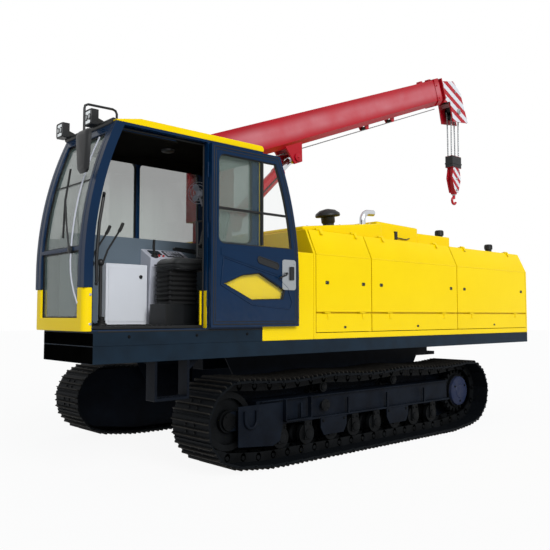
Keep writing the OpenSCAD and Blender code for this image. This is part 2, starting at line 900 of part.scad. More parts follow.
module side_mirror() {
    color("#17181a")
        translate([0, cab_left_y - mirror_in, roof_z])
            union() {
                side_plate([-bracket_half_w, bracket_half_w])
                    polygon([[roof_front_x - mirror_foot - bracket_t, roof_line(mirror_foot + bracket_t)],
                        [roof_front_x - mirror_foot - bracket_t, 0], [roof_front_x - mirror_foot + bracket_t, 0],
                        [roof_front_x - mirror_foot + bracket_t, roof_line(mirror_foot - bracket_t)]]);
                translate([roof_front_x - mirror_foot, 0, -bracket_t / 2])
                    cylinder(r = mirror_tube_r, h = mirror_loop_z + bracket_t / 2);
                for (x = [roof_front_x - mirror_foot, cab_nose_x - mirror_back])
                    translate([x, 0, mirror_loop_z])
                        sphere(r = mirror_tube_r);
                translate([roof_front_x - mirror_foot, 0, mirror_loop_z])
                    rotate([0, 90, 0])
                        cylinder(r = mirror_tube_r, h = mirror_foot + roof_front_in - mirror_back);
                translate([cab_nose_x - mirror_back, 0, -mirror_drop - cut])
                    cylinder(r = mirror_tube_r, h = mirror_drop + mirror_loop_z + cut);
                block([cab_nose_x - mirror_back - mirror_t / 2, cab_nose_x - mirror_back + mirror_t / 2],
                    [-mirror_half_w, mirror_half_w], [-mirror_drop - mirror_h, -mirror_drop]);
            }
}

// Hood

bay_top_z = crease_z;

module bay_panel() {
    color("#f0bb00")
        block([hood_front_x + seat_gap, cab_rear_x - seat_gap], [hood_y - panel_t, hood_y], [deck_top, bay_top_z]);
}

// Cross outline of the hood in Y and Z, pulled in by a distance
module hood_section(inset) {
    polygon([[-hood_y + inset, deck_top], [hood_y - inset, deck_top], [hood_y - inset, crease_z],
        [hood_top_y - inset, hood_top_z - inset], [-hood_top_y + inset, hood_top_z - inset], [-hood_y + inset, crease_z]]);
}

module hood_front_wall() {
    color("#e6b100")
        cross_plate([hood_front_x - panel_t, hood_front_x])
            hood_section(0);
}

module hood_rear_wall() {
    color("#e6b100")
        cross_plate([deck_rear_x, deck_rear_x + panel_t])
            hood_section(0);
}

// Raised covers on the hood: front and rear shares of its length, heights at both ends, half width
cover_shares = [[0.01, 0.372], [0.376, 0.564], [0.568, 0.735]];
cover_heights = [[10, 115], [290, 270], [200, 180]];
cover_half_w = [1300, 1000, 1000];
hood_l = hood_front_x - deck_rear_x;

// The front cover rises rearward; its angle, and its height a distance behind the hood's front
cover_slope = (cover_heights[0][1] - cover_heights[0][0]) / (cover_shares[0][1] - cover_shares[0][0]) / hood_l;
function cover_z(back) = hood_top_z + cover_heights[0][0] + cover_slope * (back - cover_shares[0][0] * hood_l);

module hood_top() {
    color("#f2be00")
        union() {
            block([deck_rear_x + panel_t, hood_front_x - panel_t], [-hood_top_y, hood_top_y],
                [hood_top_z - panel_t, hood_top_z]);
            for (i = [0:len(cover_shares) - 1])
                translate([hood_front_x, 0, hood_top_z])
                    side_plate([-cover_half_w[i], cover_half_w[i]])
                        polygon([[-cover_shares[i][0] * hood_l, -panel_t], [-cover_shares[i][0] * hood_l, cover_heights[i][0]],
                            [-cover_shares[i][1] * hood_l, cover_heights[i][1]], [-cover_shares[i][1] * hood_l, -panel_t]]);
            for (i = [0:2])
                for (share = hinge_shares)
                    translate([hinge_x_at(i, share) + seat_gap, 0, 0]) {
                        block([0, hinge_half], [hood_top_y - hood_leaf, hood_top_y], [hood_top_z - cut, hood_top_z + hood_pin_up]);
                        rod_x([0, hinge_half], hood_top_y, hood_top_z + hood_pin_up, hood_pin_r);
                    }
        }
}

// Ribs bent to follow the doors, at the two inner seams
post_w = 60;
post_t = 60;
rib_gap = 5;
rib_y = hood_y - panel_t - rib_gap;

module rib(i, gap) {
    cross_plate([seam_x(i) - post_w / 2, seam_x(i) + post_w / 2])
        polygon([[rib_y - post_t, deck_top], [hood_y - panel_t - gap, deck_top], [hood_y - panel_t - gap, crease_z - panel_t],
            [hood_top_y - gap, hood_top_z - panel_t], [hood_top_y - post_t, hood_top_z - panel_t],
            [rib_y - post_t, crease_z - panel_t]]);
}

module hood_posts() {
    color("#20222e")
        for (i = [1:2]) {
            rib(i, rib_gap);
            mirror([0, 1, 0])
                rib(i, seat_gap);
        }
}

// Rails between the ribs, behind the seam that carries the flaps' hinges
rail_h = 90;
rail_z = door_z0 - flap_seam / 2;
function rail_x(i) = [(i < 2 ? seam_x(i + 1) + post_w / 2 : deck_rear_x + panel_t) + seat_gap,
    (i > 0 ? seam_x(i) - post_w / 2 : hood_front_x - panel_t) - seat_gap];

// Hinges: shares of a door's length at which they stand, and the length of each half
hinge_shares = [0.18, 0.82];
hinge_half = 45;
flap_pin_out = 9;
flap_pin_r = 7;
flap_leaf_h = 55;
function hinge_x_at(i, share) = span_x(i)[0] + share * (span_x(i)[1] - span_x(i)[0]);

module rod_x(x, y, z, r) {
    translate([x[0], y, z])
        rotate([0, 90, 0])
            cylinder(r = r, h = x[1] - x[0], $fn = 32);
}

module hood_rails() {
    color("#20222e")
        union() {
            both_sides()
                for (i = [0:2])
                    block(rail_x(i), [rib_y - post_t, rib_y], [rail_z - rail_h / 2, rail_z + rail_h / 2]);
            for (i = [0:2])
                for (share = hinge_shares)
                    translate([hinge_x_at(i, share) + seat_gap, 0, 0]) {
                        block([0, hinge_half], [rib_y - cut, hood_y + flap_pin_out], [rail_z - rib_gap, rail_z + rib_gap]);
                        rod_x([0, hinge_half], hood_y + flap_pin_out, rail_z, flap_pin_r);
                    }
        }
}

// Sills under the flaps, flush with the hood's flanks
module hood_sills() {
    color("#f0bb00")
        both_sides()
            block([deck_rear_x + panel_t, hood_front_x - panel_t], [hood_y - panel_t, hood_y], [deck_top, flap_z0 - door_gap]);
}

// A hood door: flat flank up to the crease, then the slope to the top edge
hood_hinge_gap = 5;
hood_pin_up = 13;
hood_pin_r = 11;
hood_leaf = 45;

module hood_door_section() {
    polygon([[hood_y - panel_t, door_z0], [hood_y, door_z0], [hood_y, crease_z],
        [hood_top_y + hood_hinge_gap, hood_top_z], [hood_top_y + hood_hinge_gap, hood_top_z - panel_t],
        [hood_y - panel_t, crease_z - panel_t / 2]]);
}

function span_x(i) = [max(seam_x(i + 1), deck_rear_x + panel_t) + door_gap, min(seam_x(i), hood_front_x - panel_t) - door_gap];

module hood_door(i) {
    color("#f4c000")
        union() {
            cross_plate(span_x(i))
                hood_door_section();
            for (share = hinge_shares) {
                cross_plate([hinge_x_at(i, share) - hinge_half, hinge_x_at(i, share)])
                    polygon([[hood_top_y + hood_hinge_gap, hood_top_z - hood_pin_up],
                        [hood_top_y + hood_hinge_gap, hood_top_z + hood_pin_up + hood_pin_r / 2],
                        [hood_top_y + hood_pin_r, hood_top_z + hood_pin_up + hood_pin_r / 2],
                        [hood_top_y + hood_leaf, hood_top_z - hood_leaf]]);
                rod_x([hinge_x_at(i, share) - hinge_half, hinge_x_at(i, share)], hood_top_y, hood_top_z + hood_pin_up,
                    hood_pin_r);
            }
        }
}

module hood_flap(i) {
    color("#f4c000")
        union() {
            block(span_x(i), [hood_y - panel_t, hood_y], [flap_z0, flap_z1]);
            for (share = hinge_shares) {
                block([hinge_x_at(i, share) - hinge_half, hinge_x_at(i, share)], [hood_y - cut, hood_y + flap_pin_out],
                    [flap_z1 - flap_leaf_h, flap_z1]);
                block([hinge_x_at(i, share) - hinge_half, hinge_x_at(i, share)], [hood_y, hood_y + flap_pin_out],
                    [flap_z1 - flap_leaf_h, rail_z]);
                rod_x([hinge_x_at(i, share) - hinge_half, hinge_x_at(i, share)], hood_y + flap_pin_out, rail_z, flap_pin_r);
            }
        }
}

module hood_door_1() { hood_door(0); }
module hood_door_2() { hood_door(1); }
module hood_door_3() { hood_door(2); }
module hood_flap_1() { hood_flap(0); }
module hood_flap_2() { hood_flap(1); }
module hood_flap_3() { hood_flap(2); }

// Right flank: fixed panels with cooling slots
slot_h = 26;
slot_count = 9;
slot_rise = 70;
slot_lift = 60;
slot_z0 = door_z0 + slot_lift;
slot_end = 140;

module hood_right_panels() {
    color("#f0bb00")
        for (i = [0:2])
            difference() {
                mirror([0, 1, 0])
                    cross_plate(span_x(i))
                        polygon([[hood_y - panel_t, flap_z0], [hood_y, flap_z0], [hood_y, crease_z],
                            [hood_top_y + hood_hinge_gap, hood_top_z], [hood_top_y + hood_hinge_gap, hood_top_z - panel_t],
                            [hood_y - panel_t, crease_z - panel_t / 2]]);
                for (k = [0:slot_count - 1])
                    if (slot_z0 + k * slot_rise + slot_h < crease_z - slot_h)
                        block([span_x(i)[0] + slot_end, span_x(i)[1] - slot_end], [-hood_y - cut, -hood_y + panel_t + cut],
                            [slot_z0 + k * slot_rise, slot_z0 + k * slot_rise + slot_h]);
            }
}

engine_l = 1900;
engine_half_w = 450;
engine_h = 850;

module engine_block() {
    color("#55585c")
        translate([(hood_front_x + deck_rear_x) / 2, 0, deck_top])
            block([-engine_l / 2, engine_l / 2], [-engine_half_w, engine_half_w], [0, engine_h]);
}

// Pre-cleaner: a mushroom cap over a bowl and a neck, in one revolve
cleaner_back = 1050;
cleaner_x = hood_front_x - cleaner_back;
cleaner_in = 760;
cleaner_y = deck_half_w - cleaner_in;
cleaner_r = 160;
cleaner_h = 270;
// Profile: shares of the cap's radius and of the whole height
cleaner_shares = [[0, 0], [0.45, 0], [0.45, 0.3], [0.72, 0.4], [0.76, 0.6], [0.94, 0.62], [1, 0.68], [0.96, 0.78],
    [0.62, 0.93], [0, 1]];

module air_cleaner() {
    color("#151517")
        translate([cleaner_x, cleaner_y, cover_z(cleaner_back)])
            rotate([0, atan(cover_slope), 0])
                rotate_extrude()
                    polygon([for (p = cleaner_shares) [p[0] * cleaner_r, p[1] * cleaner_h]]);
}

exhaust_back = 1600;
exhaust_x = hood_front_x - exhaust_back;
exhaust_in = 660;
exhaust_y = deck_half_w - exhaust_in;
exhaust_r = 42;
exhaust_h = 190;
exhaust_bend = 110;
exhaust_turn = 90;
exhaust_end = 110;

module exhaust() {
    color("#c9ccd0")
        translate([exhaust_x, exhaust_y, cover_z(exhaust_back)])
            rotate([0, atan(cover_slope), 0])
                union() {
                    translate([0, 0, seat_gap])
                        cylinder(r = exhaust_r, h = exhaust_h - seat_gap);
                    translate([-exhaust_bend, 0, exhaust_h])
                        rotate([90, 0, 0])
                            rotate_extrude(angle = exhaust_turn)
                                translate([exhaust_bend, 0])
                                    circle(r = exhaust_r);
                    translate([-exhaust_bend, 0, exhaust_h + exhaust_bend])
                        rotate([0, -exhaust_turn, 0])
                            cylinder(r = exhaust_r, h = exhaust_end);
                }
}

// Crane

pedestal_r = 270;
pedestal_h = 420;
pedestal_foot = 620;
foot_t = 40;
column_z = deck_top + pedestal_h;
column_w = 330;
foot_pin_r = 40;
foot_x = crane_x + foot_ahead;
cheek_gap = 8;
ear_t = 36;
ear_r = 100;
lift_pin_r = 35;
lift_back = 390;
lift_drop = 800;
lift_x = foot_x - lift_back;
lift_z = foot_z - lift_drop;
lift_w = 168;
barrel_r = 82;

module crane_base() {
    color("#8f1f1c")
        translate([crane_x, crane_y, deck_top])
            union() {
                block([-pedestal_foot / 2, pedestal_foot / 2], [-pedestal_foot / 2, pedestal_foot / 2], [0, foot_t]);
                cylinder(r = pedestal_r, h = pedestal_h);
            }
}

// Column: turning post, two ears for the boom's foot and two for the lift cylinder
module crane_column() {
    color("#b3221f")
        translate([0, crane_y, 0])
            difference() {
                union() {
                    translate([crane_x, 0, column_z + seat_gap])
                        cylinder(r = pedestal_r - cut, h = foot_t);
                    block([crane_x - column_w / 2, crane_x + column_w / 2], [-column_w / 2, column_w / 2],
                        [column_z + foot_t, foot_z - boom_h]);
                    for (side = [-1, 1]) {
                        side_plate([side > 0 ? boom_w / 2 + cheek_gap : -boom_w / 2 - cheek_gap - ear_t,
                            side > 0 ? boom_w / 2 + cheek_gap + ear_t : -boom_w / 2 - cheek_gap])
                            union() {
                                translate([crane_x - column_w / 2, foot_z - 2 * boom_h])
                                    square([foot_ahead + column_w / 2 + ear_r, 2 * boom_h]);
                                translate([foot_x, foot_z])
                                    circle(r = ear_r);
                            }
                        side_plate([side > 0 ? lift_w / 2 + cheek_gap : -lift_w / 2 - cheek_gap - ear_t,
                            side > 0 ? lift_w / 2 + cheek_gap + ear_t : -lift_w / 2 - cheek_gap])
                            union() {
                                translate([lift_x, lift_z - ear_r])
                                    square([crane_x - lift_x, 2 * ear_r]);
                                translate([lift_x, lift_z])
                                    circle(r = ear_r);
                            }
                    }
                    block([crane_x - column_w / 2, foot_x + ear_r], [-boom_w / 2 - cheek_gap - ear_t, boom_w / 2 + cheek_gap + ear_t],
                        [foot_z - 2 * boom_h, foot_z - boom_h]);
                }
                axle(foot_x, foot_z, foot_pin_r + seat_gap, [-boom_w, boom_w]);
                axle(lift_x, lift_z, lift_pin_r + seat_gap, [-boom_w, boom_w]);
            }
}

// Boom frame: U runs out along the boom from its foot pin, V stands up from it
module on_boom() {
    translate([foot_x, crane_y, foot_z])
        rotate([0, boom_rest, 0])
            mirror([1, 0, 0])
                children();
}

// Lift cylinder line at rest, from its foot on the column to its eye under the boom
lug_u = 1400;
lug_v = -350;
eye_dx = lug_u * cos(boom_rest) - lug_v * sin(boom_rest) - lift_back;
eye_dz = lug_u * sin(boom_rest) + lug_v * cos(boom_rest) + lift_drop;
lift_len = norm([eye_dx, eye_dz]);
lift_angle = atan2(eye_dz, eye_dx);
barrel_l = 1150;
rod_r = 48;
rod_in = 1060;
eye_r = 70;

module on_lift() {
    translate([lift_x, crane_y, lift_z])
        rotate([0, lift_angle, 0])
            mirror([1, 0, 0])
                children();
}

// The barrel starts behind the ears, on a neck that turns between them
barrel_start = ear_r + 2 * cut;
neck_r = 50;

module lift_barrel() {
    color("#b3221f")
        on_lift()
            difference() {
                union() {
                    rotate([0, 90, 0])
                        cylinder(r = neck_r, h = barrel_start + cut);
                    translate([barrel_start, 0, 0])
                        rotate([0, 90, 0])
                            cylinder(r = barrel_r, h = barrel_l - barrel_start);
                    axle(0, 0, eye_r, [-lift_w / 2, lift_w / 2]);
                    axle(0, 0, lift_pin_r, [-lift_w / 2 - cheek_gap - ear_t, lift_w / 2 + cheek_gap + ear_t]);
                }
                translate([barrel_start + cut, 0, 0])
                    rotate([0, 90, 0])
                        cylinder(r = rod_r + seat_gap, h = barrel_l);
            }
}

module lift_rod() {
    color("#d0d3d6")
        on_lift()
            difference() {
                union() {
                    translate([lift_len - rod_in, 0, 0])
                        rotate([0, 90, 0])
                            cylinder(r = rod_r, h = rod_in - eye_r / 2);
                    axle(lift_len, 0, eye_r, [-lift_w / 2, lift_w / 2]);
                }
                axle(lift_len, 0, lift_pin_r, [-lift_w, lift_w]);
            }
}

// Boom section: flat top and flanks, lower corners cut off
corner_share = 0.2;

module boom_section(h, w) {
    c = corner_share * w;
    polygon([[-w / 2, h / 2], [w / 2, h / 2], [w / 2, -h / 2 + c], [w / 2 - c, -h / 2],
        [-w / 2 + c, -h / 2], [-w / 2, -h / 2 + c]]);
}

function inner_h(i) = boom_h - 2 * i * (boom_wall + boom_gap);
function inner_w(i) = boom_w - 2 * i * (boom_wall + boom_gap);
foot_back = 140;
section_start = 420;
collar_l = 120;
collar_t = 14;

module boom_tube(i, u0, u1) {
    difference() {
        cross_plate([u0, u1])
            boom_section(inner_h(i), inner_w(i));
        cross_plate([u0 - cut, u1 + cut])
            boom_section(inner_h(i) - 2 * boom_wall, inner_w(i) - 2 * boom_wall);
    }
}

// Collar at a section's mouth that carries the next section
module boom_collar(i, u1, proud) {
    difference() {
        cross_plate([u1 - collar_l, u1])
            boom_section(inner_h(i) + 2 * proud, inner_w(i) + 2 * proud);
        cross_plate([u1 - collar_l - cut, u1 + cut])
            boom_section(inner_h(i + 1) + 2 * seat_gap, inner_w(i + 1) + 2 * seat_gap);
    }
}

lug_t = 30;
lug_in = 30;
lug_l = 320;

module boom_base() {
    color("#c8231f")
        on_boom()
            difference() {
                union() {
                    boom_tube(0, -foot_back, boom_base_l);
                    cross_plate([-foot_back, section_start - 2 * cut])
                        boom_section(boom_h, boom_w);
                    boom_collar(0, boom_base_l, collar_t);
                    for (side = [-1, 1])
                        side_plate([side > 0 ? lift_w / 2 + cheek_gap : -lift_w / 2 - cheek_gap - lug_t,
                            side > 0 ? lift_w / 2 + cheek_gap + lug_t : -lift_w / 2 - cheek_gap])
                            polygon([[lug_u - lug_l / 2, -boom_h / 2 + lug_in], [lug_u + lug_l / 2, -boom_h / 2 + lug_in],
                                [lug_u + eye_r, lug_v - eye_r], [lug_u - eye_r, lug_v - eye_r]]);
                    axle(0, 0, foot_pin_r, [-boom_w / 2 - cheek_gap - ear_t, boom_w / 2 + cheek_gap + ear_t]);
                }
                axle(lug_u, lug_v, lift_pin_r, [-boom_w, boom_w]);
            }
}

module boom_mid() {
    color("#bd201d")
        on_boom() {
            union() {
                boom_tube(1, section_start, boom_base_l + tip_out / 2);
                boom_collar(1, boom_base_l + tip_out / 2, 0);
            }
        }
}

// Tip section with the head: two side plates that hold the sheave pin
head_t = 24;
head_w = 240;
pin_out = 370;
pin_u = boom_base_l + tip_out + pin_out;
pin_v = -410;
head_pin_r = 30;
rope_r = 7;
sheave_r = 112;
sheave_w = 34;
groove_r = 98;
groove_side = 3;
sheave_apart = 120;

// Head plate: shares of its length along the boom and of its depth below the boom's middle line
head_shares = [[0, 0.25], [0.68, 0.16], [0.94, -0.2], [1, -1], [0.24, -0.83], [0.3, -0.32], [0, -0.3]];

module boom_tip() {
    color("#c8231f")
        on_boom()
            difference() {
                union() {
                    boom_tube(2, section_start, boom_base_l + tip_out + cut);
                    cross_plate([boom_base_l + tip_out, boom_base_l + tip_out + head_t])
                        boom_section(boom_h, boom_w);
                    for (side = [-1, 1])
                        side_plate([side > 0 ? head_w / 2 - head_t : -head_w / 2, side > 0 ? head_w / 2 : -head_w / 2 + head_t])
                            polygon([for (p = head_shares) [boom_base_l + tip_out + p[0] * head_plate_l, p[1] * head_low]]);
                }
                axle(pin_u, pin_v, head_pin_r + seat_gap, [-boom_w, boom_w]);
            }
}

// Sheave: a revolved disc with a groove that the rope lies in
module sheave() {
    rotate([90, 0, 0])
        rotate_extrude()
            polygon([[0, -sheave_w / 2], [sheave_r, -sheave_w / 2], [sheave_r, -rope_r - groove_side],
                [groove_r, -rope_r - seat_gap], [groove_r, rope_r + seat_gap], [sheave_r, rope_r + groove_side],
                [sheave_r, sheave_w / 2], [0, sheave_w / 2]]);
}

module head_sheaves() {
    color("#2a2a2d")
        on_boom()
            union() {
                axle(pin_u, pin_v, head_pin_r, [-head_w / 2, head_w / 2]);
                for (side = [-1, 1])
                    translate([pin_u, side * sheave_apart / 2, pin_v])
                        sheave();
            }
}

// Hook gear, hanging plumb below the head pin
head_x = foot_x - pin_u * cos(boom_rest) + pin_v * sin(boom_rest);
head_z = foot_z + pin_u * sin(boom_rest) + pin_v * cos(boom_rest);
fall_l = 765;
sleeve_l = 260;
sleeve_w = 140;
sleeve_h = 200;
block_h = 450;
hook_r = 55;
hook_bar = 20;
shank_r = 24;
hook_turn = -160;
hook_sweep = 250;
hook_fn = 40;
hook_z = head_z - fall_l - sleeve_h - block_h - seat_gap;
hook_bowl = hook_z - 2 * hook_r;

module hoist_ropes() {
    color("#3a3a3c")
        translate([head_x, crane_y, head_z])
            for (i = [-1, 1])
                for (j = [-1, 1])
                    translate([i * (groove_r + seat_gap + rope_r), j * sheave_apart / 2, -fall_l + seat_gap])
                        cylinder(r = rope_r, h = fall_l, $fn = 24);
}

// Hook block: shares of the sleeve's length and of the block's height
core_shares = [[-0.3, 0], [0.3, 0], [0.32, 0.5], [0.14, 1], [-0.14, 1], [-0.32, 0.5]];
cheek_shares = [[-0.36, 0], [0.36, 0], [0.5, 0.42], [0.2, 0.94], [-0.2, 0.94], [-0.5, 0.42]];
cheek_plate_t = 13;

module hook_block() {
    color("#c8231f")
        translate([head_x, crane_y, head_z - fall_l])
            union() {
                block([-sleeve_l / 2, sleeve_l / 2], [-sleeve_w / 2, sleeve_w / 2], [-sleeve_h, 0]);
                side_plate([-sleeve_w / 4, sleeve_w / 4])
                    polygon([for (p = core_shares) [p[0] * sleeve_l, -sleeve_h - p[1] * block_h]]);
                for (side = [-1, 1])
                    side_plate([side * sleeve_w / 3 - cheek_plate_t, side * sleeve_w / 3 + cheek_plate_t])
                        polygon([for (p = cheek_shares) [p[0] * sleeve_l, -sleeve_h - p[1] * block_h]]);
            }
}

module hook() {
    color("#a81d1a")
        translate([head_x, crane_y, hook_z])
            union() {
                translate([0, 0, -hook_r - shank_r])
                    cylinder(r = shank_r, h = hook_r + shank_r, $fn = hook_fn);
                translate([0, 0, -2 * hook_r])
                    rotate([90, 0, 0])
                        rotate([0, 0, hook_turn])
                            rotate_extrude(angle = hook_sweep, $fn = hook_fn)
                                translate([hook_r, 0])
                                    circle(r = hook_bar, $fn = hook_fn);
            }
}

track_left();
track_right();
track_frames();
idlers();
sprockets();
track_rollers();
carrier_rollers();
car_body();
car_legs();
deck_beams();
tow_plate();
deck_frame();
boarding_step();
cab_base();
cab_floor();
cab_left_wall();
cab_right_wall();
cab_front_frame();
cab_nose_panel();
cab_rear_wall();
cab_roof();
cab_glass();
cab_door();
cab_door_glass();
seat_base();
seat();
console();
cabinet();
control_levers();
work_lamps();
side_mirror();
bay_panel();
hood_front_wall();
hood_rear_wall();
hood_top();
hood_posts();
hood_rails();
hood_sills();
hood_right_panels();
hood_door_1();
hood_door_2();
hood_door_3();
hood_flap_1();
hood_flap_2();
hood_flap_3();
engine_block();
air_cleaner();
exhaust();
crane_base();
crane_column();
lift_barrel();
lift_rod();
boom_base();
boom_mid();
boom_tip();
head_sheaves();
hoist_ropes();
hook_block();
hook();
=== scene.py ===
"""Tracked service carrier with a telescopic crane: finishes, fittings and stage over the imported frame."""

import json
import math

import bmesh
import bpy
from bpy.props import FloatProperty, FloatVectorProperty, IntProperty, PointerProperty
from mathutils import Matrix, Vector


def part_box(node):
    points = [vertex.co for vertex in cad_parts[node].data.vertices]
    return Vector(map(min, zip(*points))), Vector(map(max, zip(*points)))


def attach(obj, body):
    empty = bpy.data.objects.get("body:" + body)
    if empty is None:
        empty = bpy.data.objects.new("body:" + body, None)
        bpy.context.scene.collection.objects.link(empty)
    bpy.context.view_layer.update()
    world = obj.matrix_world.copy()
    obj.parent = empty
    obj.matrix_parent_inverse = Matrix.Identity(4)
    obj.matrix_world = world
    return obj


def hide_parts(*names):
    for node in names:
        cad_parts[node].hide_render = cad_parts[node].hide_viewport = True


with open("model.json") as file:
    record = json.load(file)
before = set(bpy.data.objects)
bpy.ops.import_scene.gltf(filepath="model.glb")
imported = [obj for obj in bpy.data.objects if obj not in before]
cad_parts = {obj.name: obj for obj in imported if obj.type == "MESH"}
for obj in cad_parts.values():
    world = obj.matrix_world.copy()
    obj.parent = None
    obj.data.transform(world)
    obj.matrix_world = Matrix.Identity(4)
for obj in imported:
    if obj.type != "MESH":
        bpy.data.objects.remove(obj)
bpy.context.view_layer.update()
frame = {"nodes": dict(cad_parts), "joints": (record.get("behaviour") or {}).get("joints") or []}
NODES = frame["nodes"]
JOINTS = {j["name"]: j for j in frame["joints"]}

bl_info = {
    "name": "Tracked Crane Carrier",
    "version": (1, 0, 0),
    "blender": (4, 5, 0),
    "location": "View3D > Sidebar > Carrier",
    "description": "Dresses a tracked carrier with cab, engine hood and telescopic crane",
    "category": "Object",
}


# Places on the machine, read from the frame

def lo(node):
    """Lower corner of a node's box."""
    return Vector(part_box(node)[0])


def hi(node):
    """Upper corner of a node's box."""
    return Vector(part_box(node)[1])


FRONT = hi("deck_frame").x
LEFT = hi("deck_frame").y
NOSE = hi("cab_nose_panel").x
CAB_REAR = lo("cab_left_wall").x
CAB_LEFT = hi("cab_nose_panel").y
CAB_RIGHT = lo("cab_nose_panel").y
CAB_FLOOR = hi("cab_floor").z
BASE_TOP = hi("cab_base").z
ROOF = hi("cab_roof").z
CEILING = lo("cab_roof").z
HINGE = Vector(JOINTS["cab_door_hinge"]["pos_m"])
FOOT = Vector(JOINTS["boom_luff"]["pos_m"])
BOOM_U = Vector(JOINTS["boom_extend"]["axis"]).normalized()
BOOM_V = Vector((BOOM_U.z, 0, -BOOM_U.x))
HEAD = Vector(JOINTS["hook_hang"]["pos_m"])
AXLE_Z = (lo("idlers").z + hi("idlers").z) / 2
IDLER_X = (lo("idlers").x + hi("idlers").x) / 2
SPROCKET_X = (lo("sprockets").x + hi("sprockets").x) / 2
GAUGE_HALF = (lo("track_left").y + hi("track_left").y) / 2
# Their axles lie this far inside the rollers' box
CARRIER_ROLLER_R = 0.06


def plane(a, b, c, origin=(0, 0, 0)):
    """Matrix whose local axes run along a, b and c from an origin."""
    turn = Matrix((Vector(a), Vector(b), Vector(c))).transposed().to_4x4()
    return Matrix.Translation(origin) @ turn


# Outlines are drawn in two axes and given depth along the third
SIDE = plane((1, 0, 0), (0, 0, 1), (0, 1, 0))
CROSS = plane((0, 1, 0), (0, 0, 1), (1, 0, 0))
PLAN = plane((1, 0, 0), (0, 1, 0), (0, 0, 1))
BOOM = plane(BOOM_U, BOOM_V, (0, 1, 0), FOOT)


def facing(point, axis):
    """Matrix at a point whose local Z runs along an axis."""
    return Matrix.Translation(point) @ Vector(axis).to_track_quat("Z", "Y").to_matrix().to_4x4()


class Form:
    """A mesh in the making, in metres and in the machine's frame."""

    def __init__(self):
        self.bm = bmesh.new()
        self.finish = 0

    def loft(self, rings, closed=False):
        """Skin through rings of points, capped at both ends or closed into a loop."""
        rows = [[self.bm.verts.new(p) for p in ring] for ring in rings]
        count = len(rows[0])
        faces = []
        pairs = list(zip(rows, rows[1:]))
        if closed:
            pairs.append((rows[-1], rows[0]))
        for a, b in pairs:
            for i in range(count):
                j = (i + 1) % count
                faces.append(self.bm.faces.new((a[i], a[j], b[j], b[i])))
        if not closed:
            faces.append(self.bm.faces.new(rows[0][::-1]))
            faces.append(self.bm.faces.new(rows[-1]))
        for face in faces:
            face.material_index = self.finish
            face.smooth = True
        return rows

    def prism(self, points, depth, place=SIDE):
        """Outline in two axes, given depth along the third."""
        return self.loft([[place @ Vector((a, b, c)) for a, b in points] for c in depth])

    def box(self, low, high, place=PLAN):
        """Box between two corners."""
        corners = [(low[0], low[1]), (high[0], low[1]), (high[0], high[1]), (low[0], high[1])]
        return self.prism(corners, (low[2], high[2]), place)

    def lathe(self, profile, place, steps=24):
        """Radii and heights turned about a place's Z axis."""
        turns = [(math.cos(2 * math.pi * i / steps), math.sin(2 * math.pi * i / steps)) for i in range(steps)]
        return self.loft([[place @ Vector((r * c, r * s, h)) for c, s in turns] for r, h in profile])

    def tube(self, path, radius, steps=10, closed=False):
        """Round bar along a path."""
        path = [Vector(p) for p in path]
        count = len(path)
        rings = []
        across = None
        for i, p in enumerate(path):
            ahead = path[(i + 1) % count] if closed or i < count - 1 else p
            behind = path[i - 1] if closed or i else p
            along = (ahead - behind).normalized()
            if across is None:
                across = along.orthogonal().normalized()
                if abs(along.y) < 0.9:
                    across = Vector((0, 1, 0)).cross(along).normalized()
            across = (across - along * across.dot(along)).normalized()
            other = along.cross(across)
            rings.append([p + radius * (math.cos(t) * across + math.sin(t) * other)
                          for t in (2 * math.pi * k / steps for k in range(steps))])
        return self.loft(rings, closed)

    def bolt(self, point, axis, size):
        """Washer and hexagon head; the size is the head's radius."""
        place = facing(point, axis)
        self.lathe([(size * 1.35, 0), (size * 1.35, size * 0.22), (size * 1.2, size * 0.3)], place, 16)
        self.lathe([(size, size * 0.2), (size, size * 0.8), (size * 0.85, size * 0.95)], place, 6)

    def done(self, name, body, finishes, slot, bevel=0.0, sharp=35, segments=2):
        """Turns the form into a piece that rides on a body."""
        bmesh.ops.recalc_face_normals(self.bm, faces=self.bm.faces[:])
        mesh = bpy.data.meshes.new(name)
        self.bm.to_mesh(mesh)
        self.bm.free()
        mesh.set_sharp_from_angle(angle=math.radians(sharp))
        for finish in finishes:
            mesh.materials.append(bpy.data.materials[finish])
        piece = bpy.data.objects.new(name, mesh)
        bpy.context.scene.collection.objects.link(piece)
        if bevel:
            edge = piece.modifiers.new("Edges", "BEVEL")
            edge.width = bevel
            edge.segments = segments
            edge.limit_method = "ANGLE"
            edge.angle_limit = math.radians(40)
        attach(piece, body)
        return piece


def rim_loops(node, axis, least):
    """Edge loops of a pane's face on one side: the lines that its rubber seal follows."""
    bm = bmesh.new()
    bm.from_mesh(NODES[node].data)
    bmesh.ops.remove_doubles(bm, verts=bm.verts[:], dist=1e-5)
    bm.normal_update()
    axis = Vector(axis)
    inside = {f for f in bm.faces if f.normal.dot(axis) > least}
    links = {}
    for edge in bm.edges:
        if sum(f in inside for f in edge.link_faces) == 1:
            a, b = edge.verts
            links.setdefault(a, []).append(b)
            links.setdefault(b, []).append(a)
    loops = []
    while links:
        start = next(iter(links))
        loop = [start]
        here = start
        while links.get(here):
            there = links[here].pop()
            links[there].remove(here)
            if there is start:
                break
            loop.append(there)
            here = there
        links = {v: n for v, n in links.items() if n}
        loops.append([v.co.copy() for v in loop])
    bm.free()
    return loops


def spread(loop, step):
    """Points along a closed loop no further apart than a step."""
    out = []
    for a, b in zip(loop, loop[1:] + loop[:1]):
        parts = max(1, round((b - a).length / step))
        out += [a.lerp(b, i / parts) for i in range(parts)]
    return out


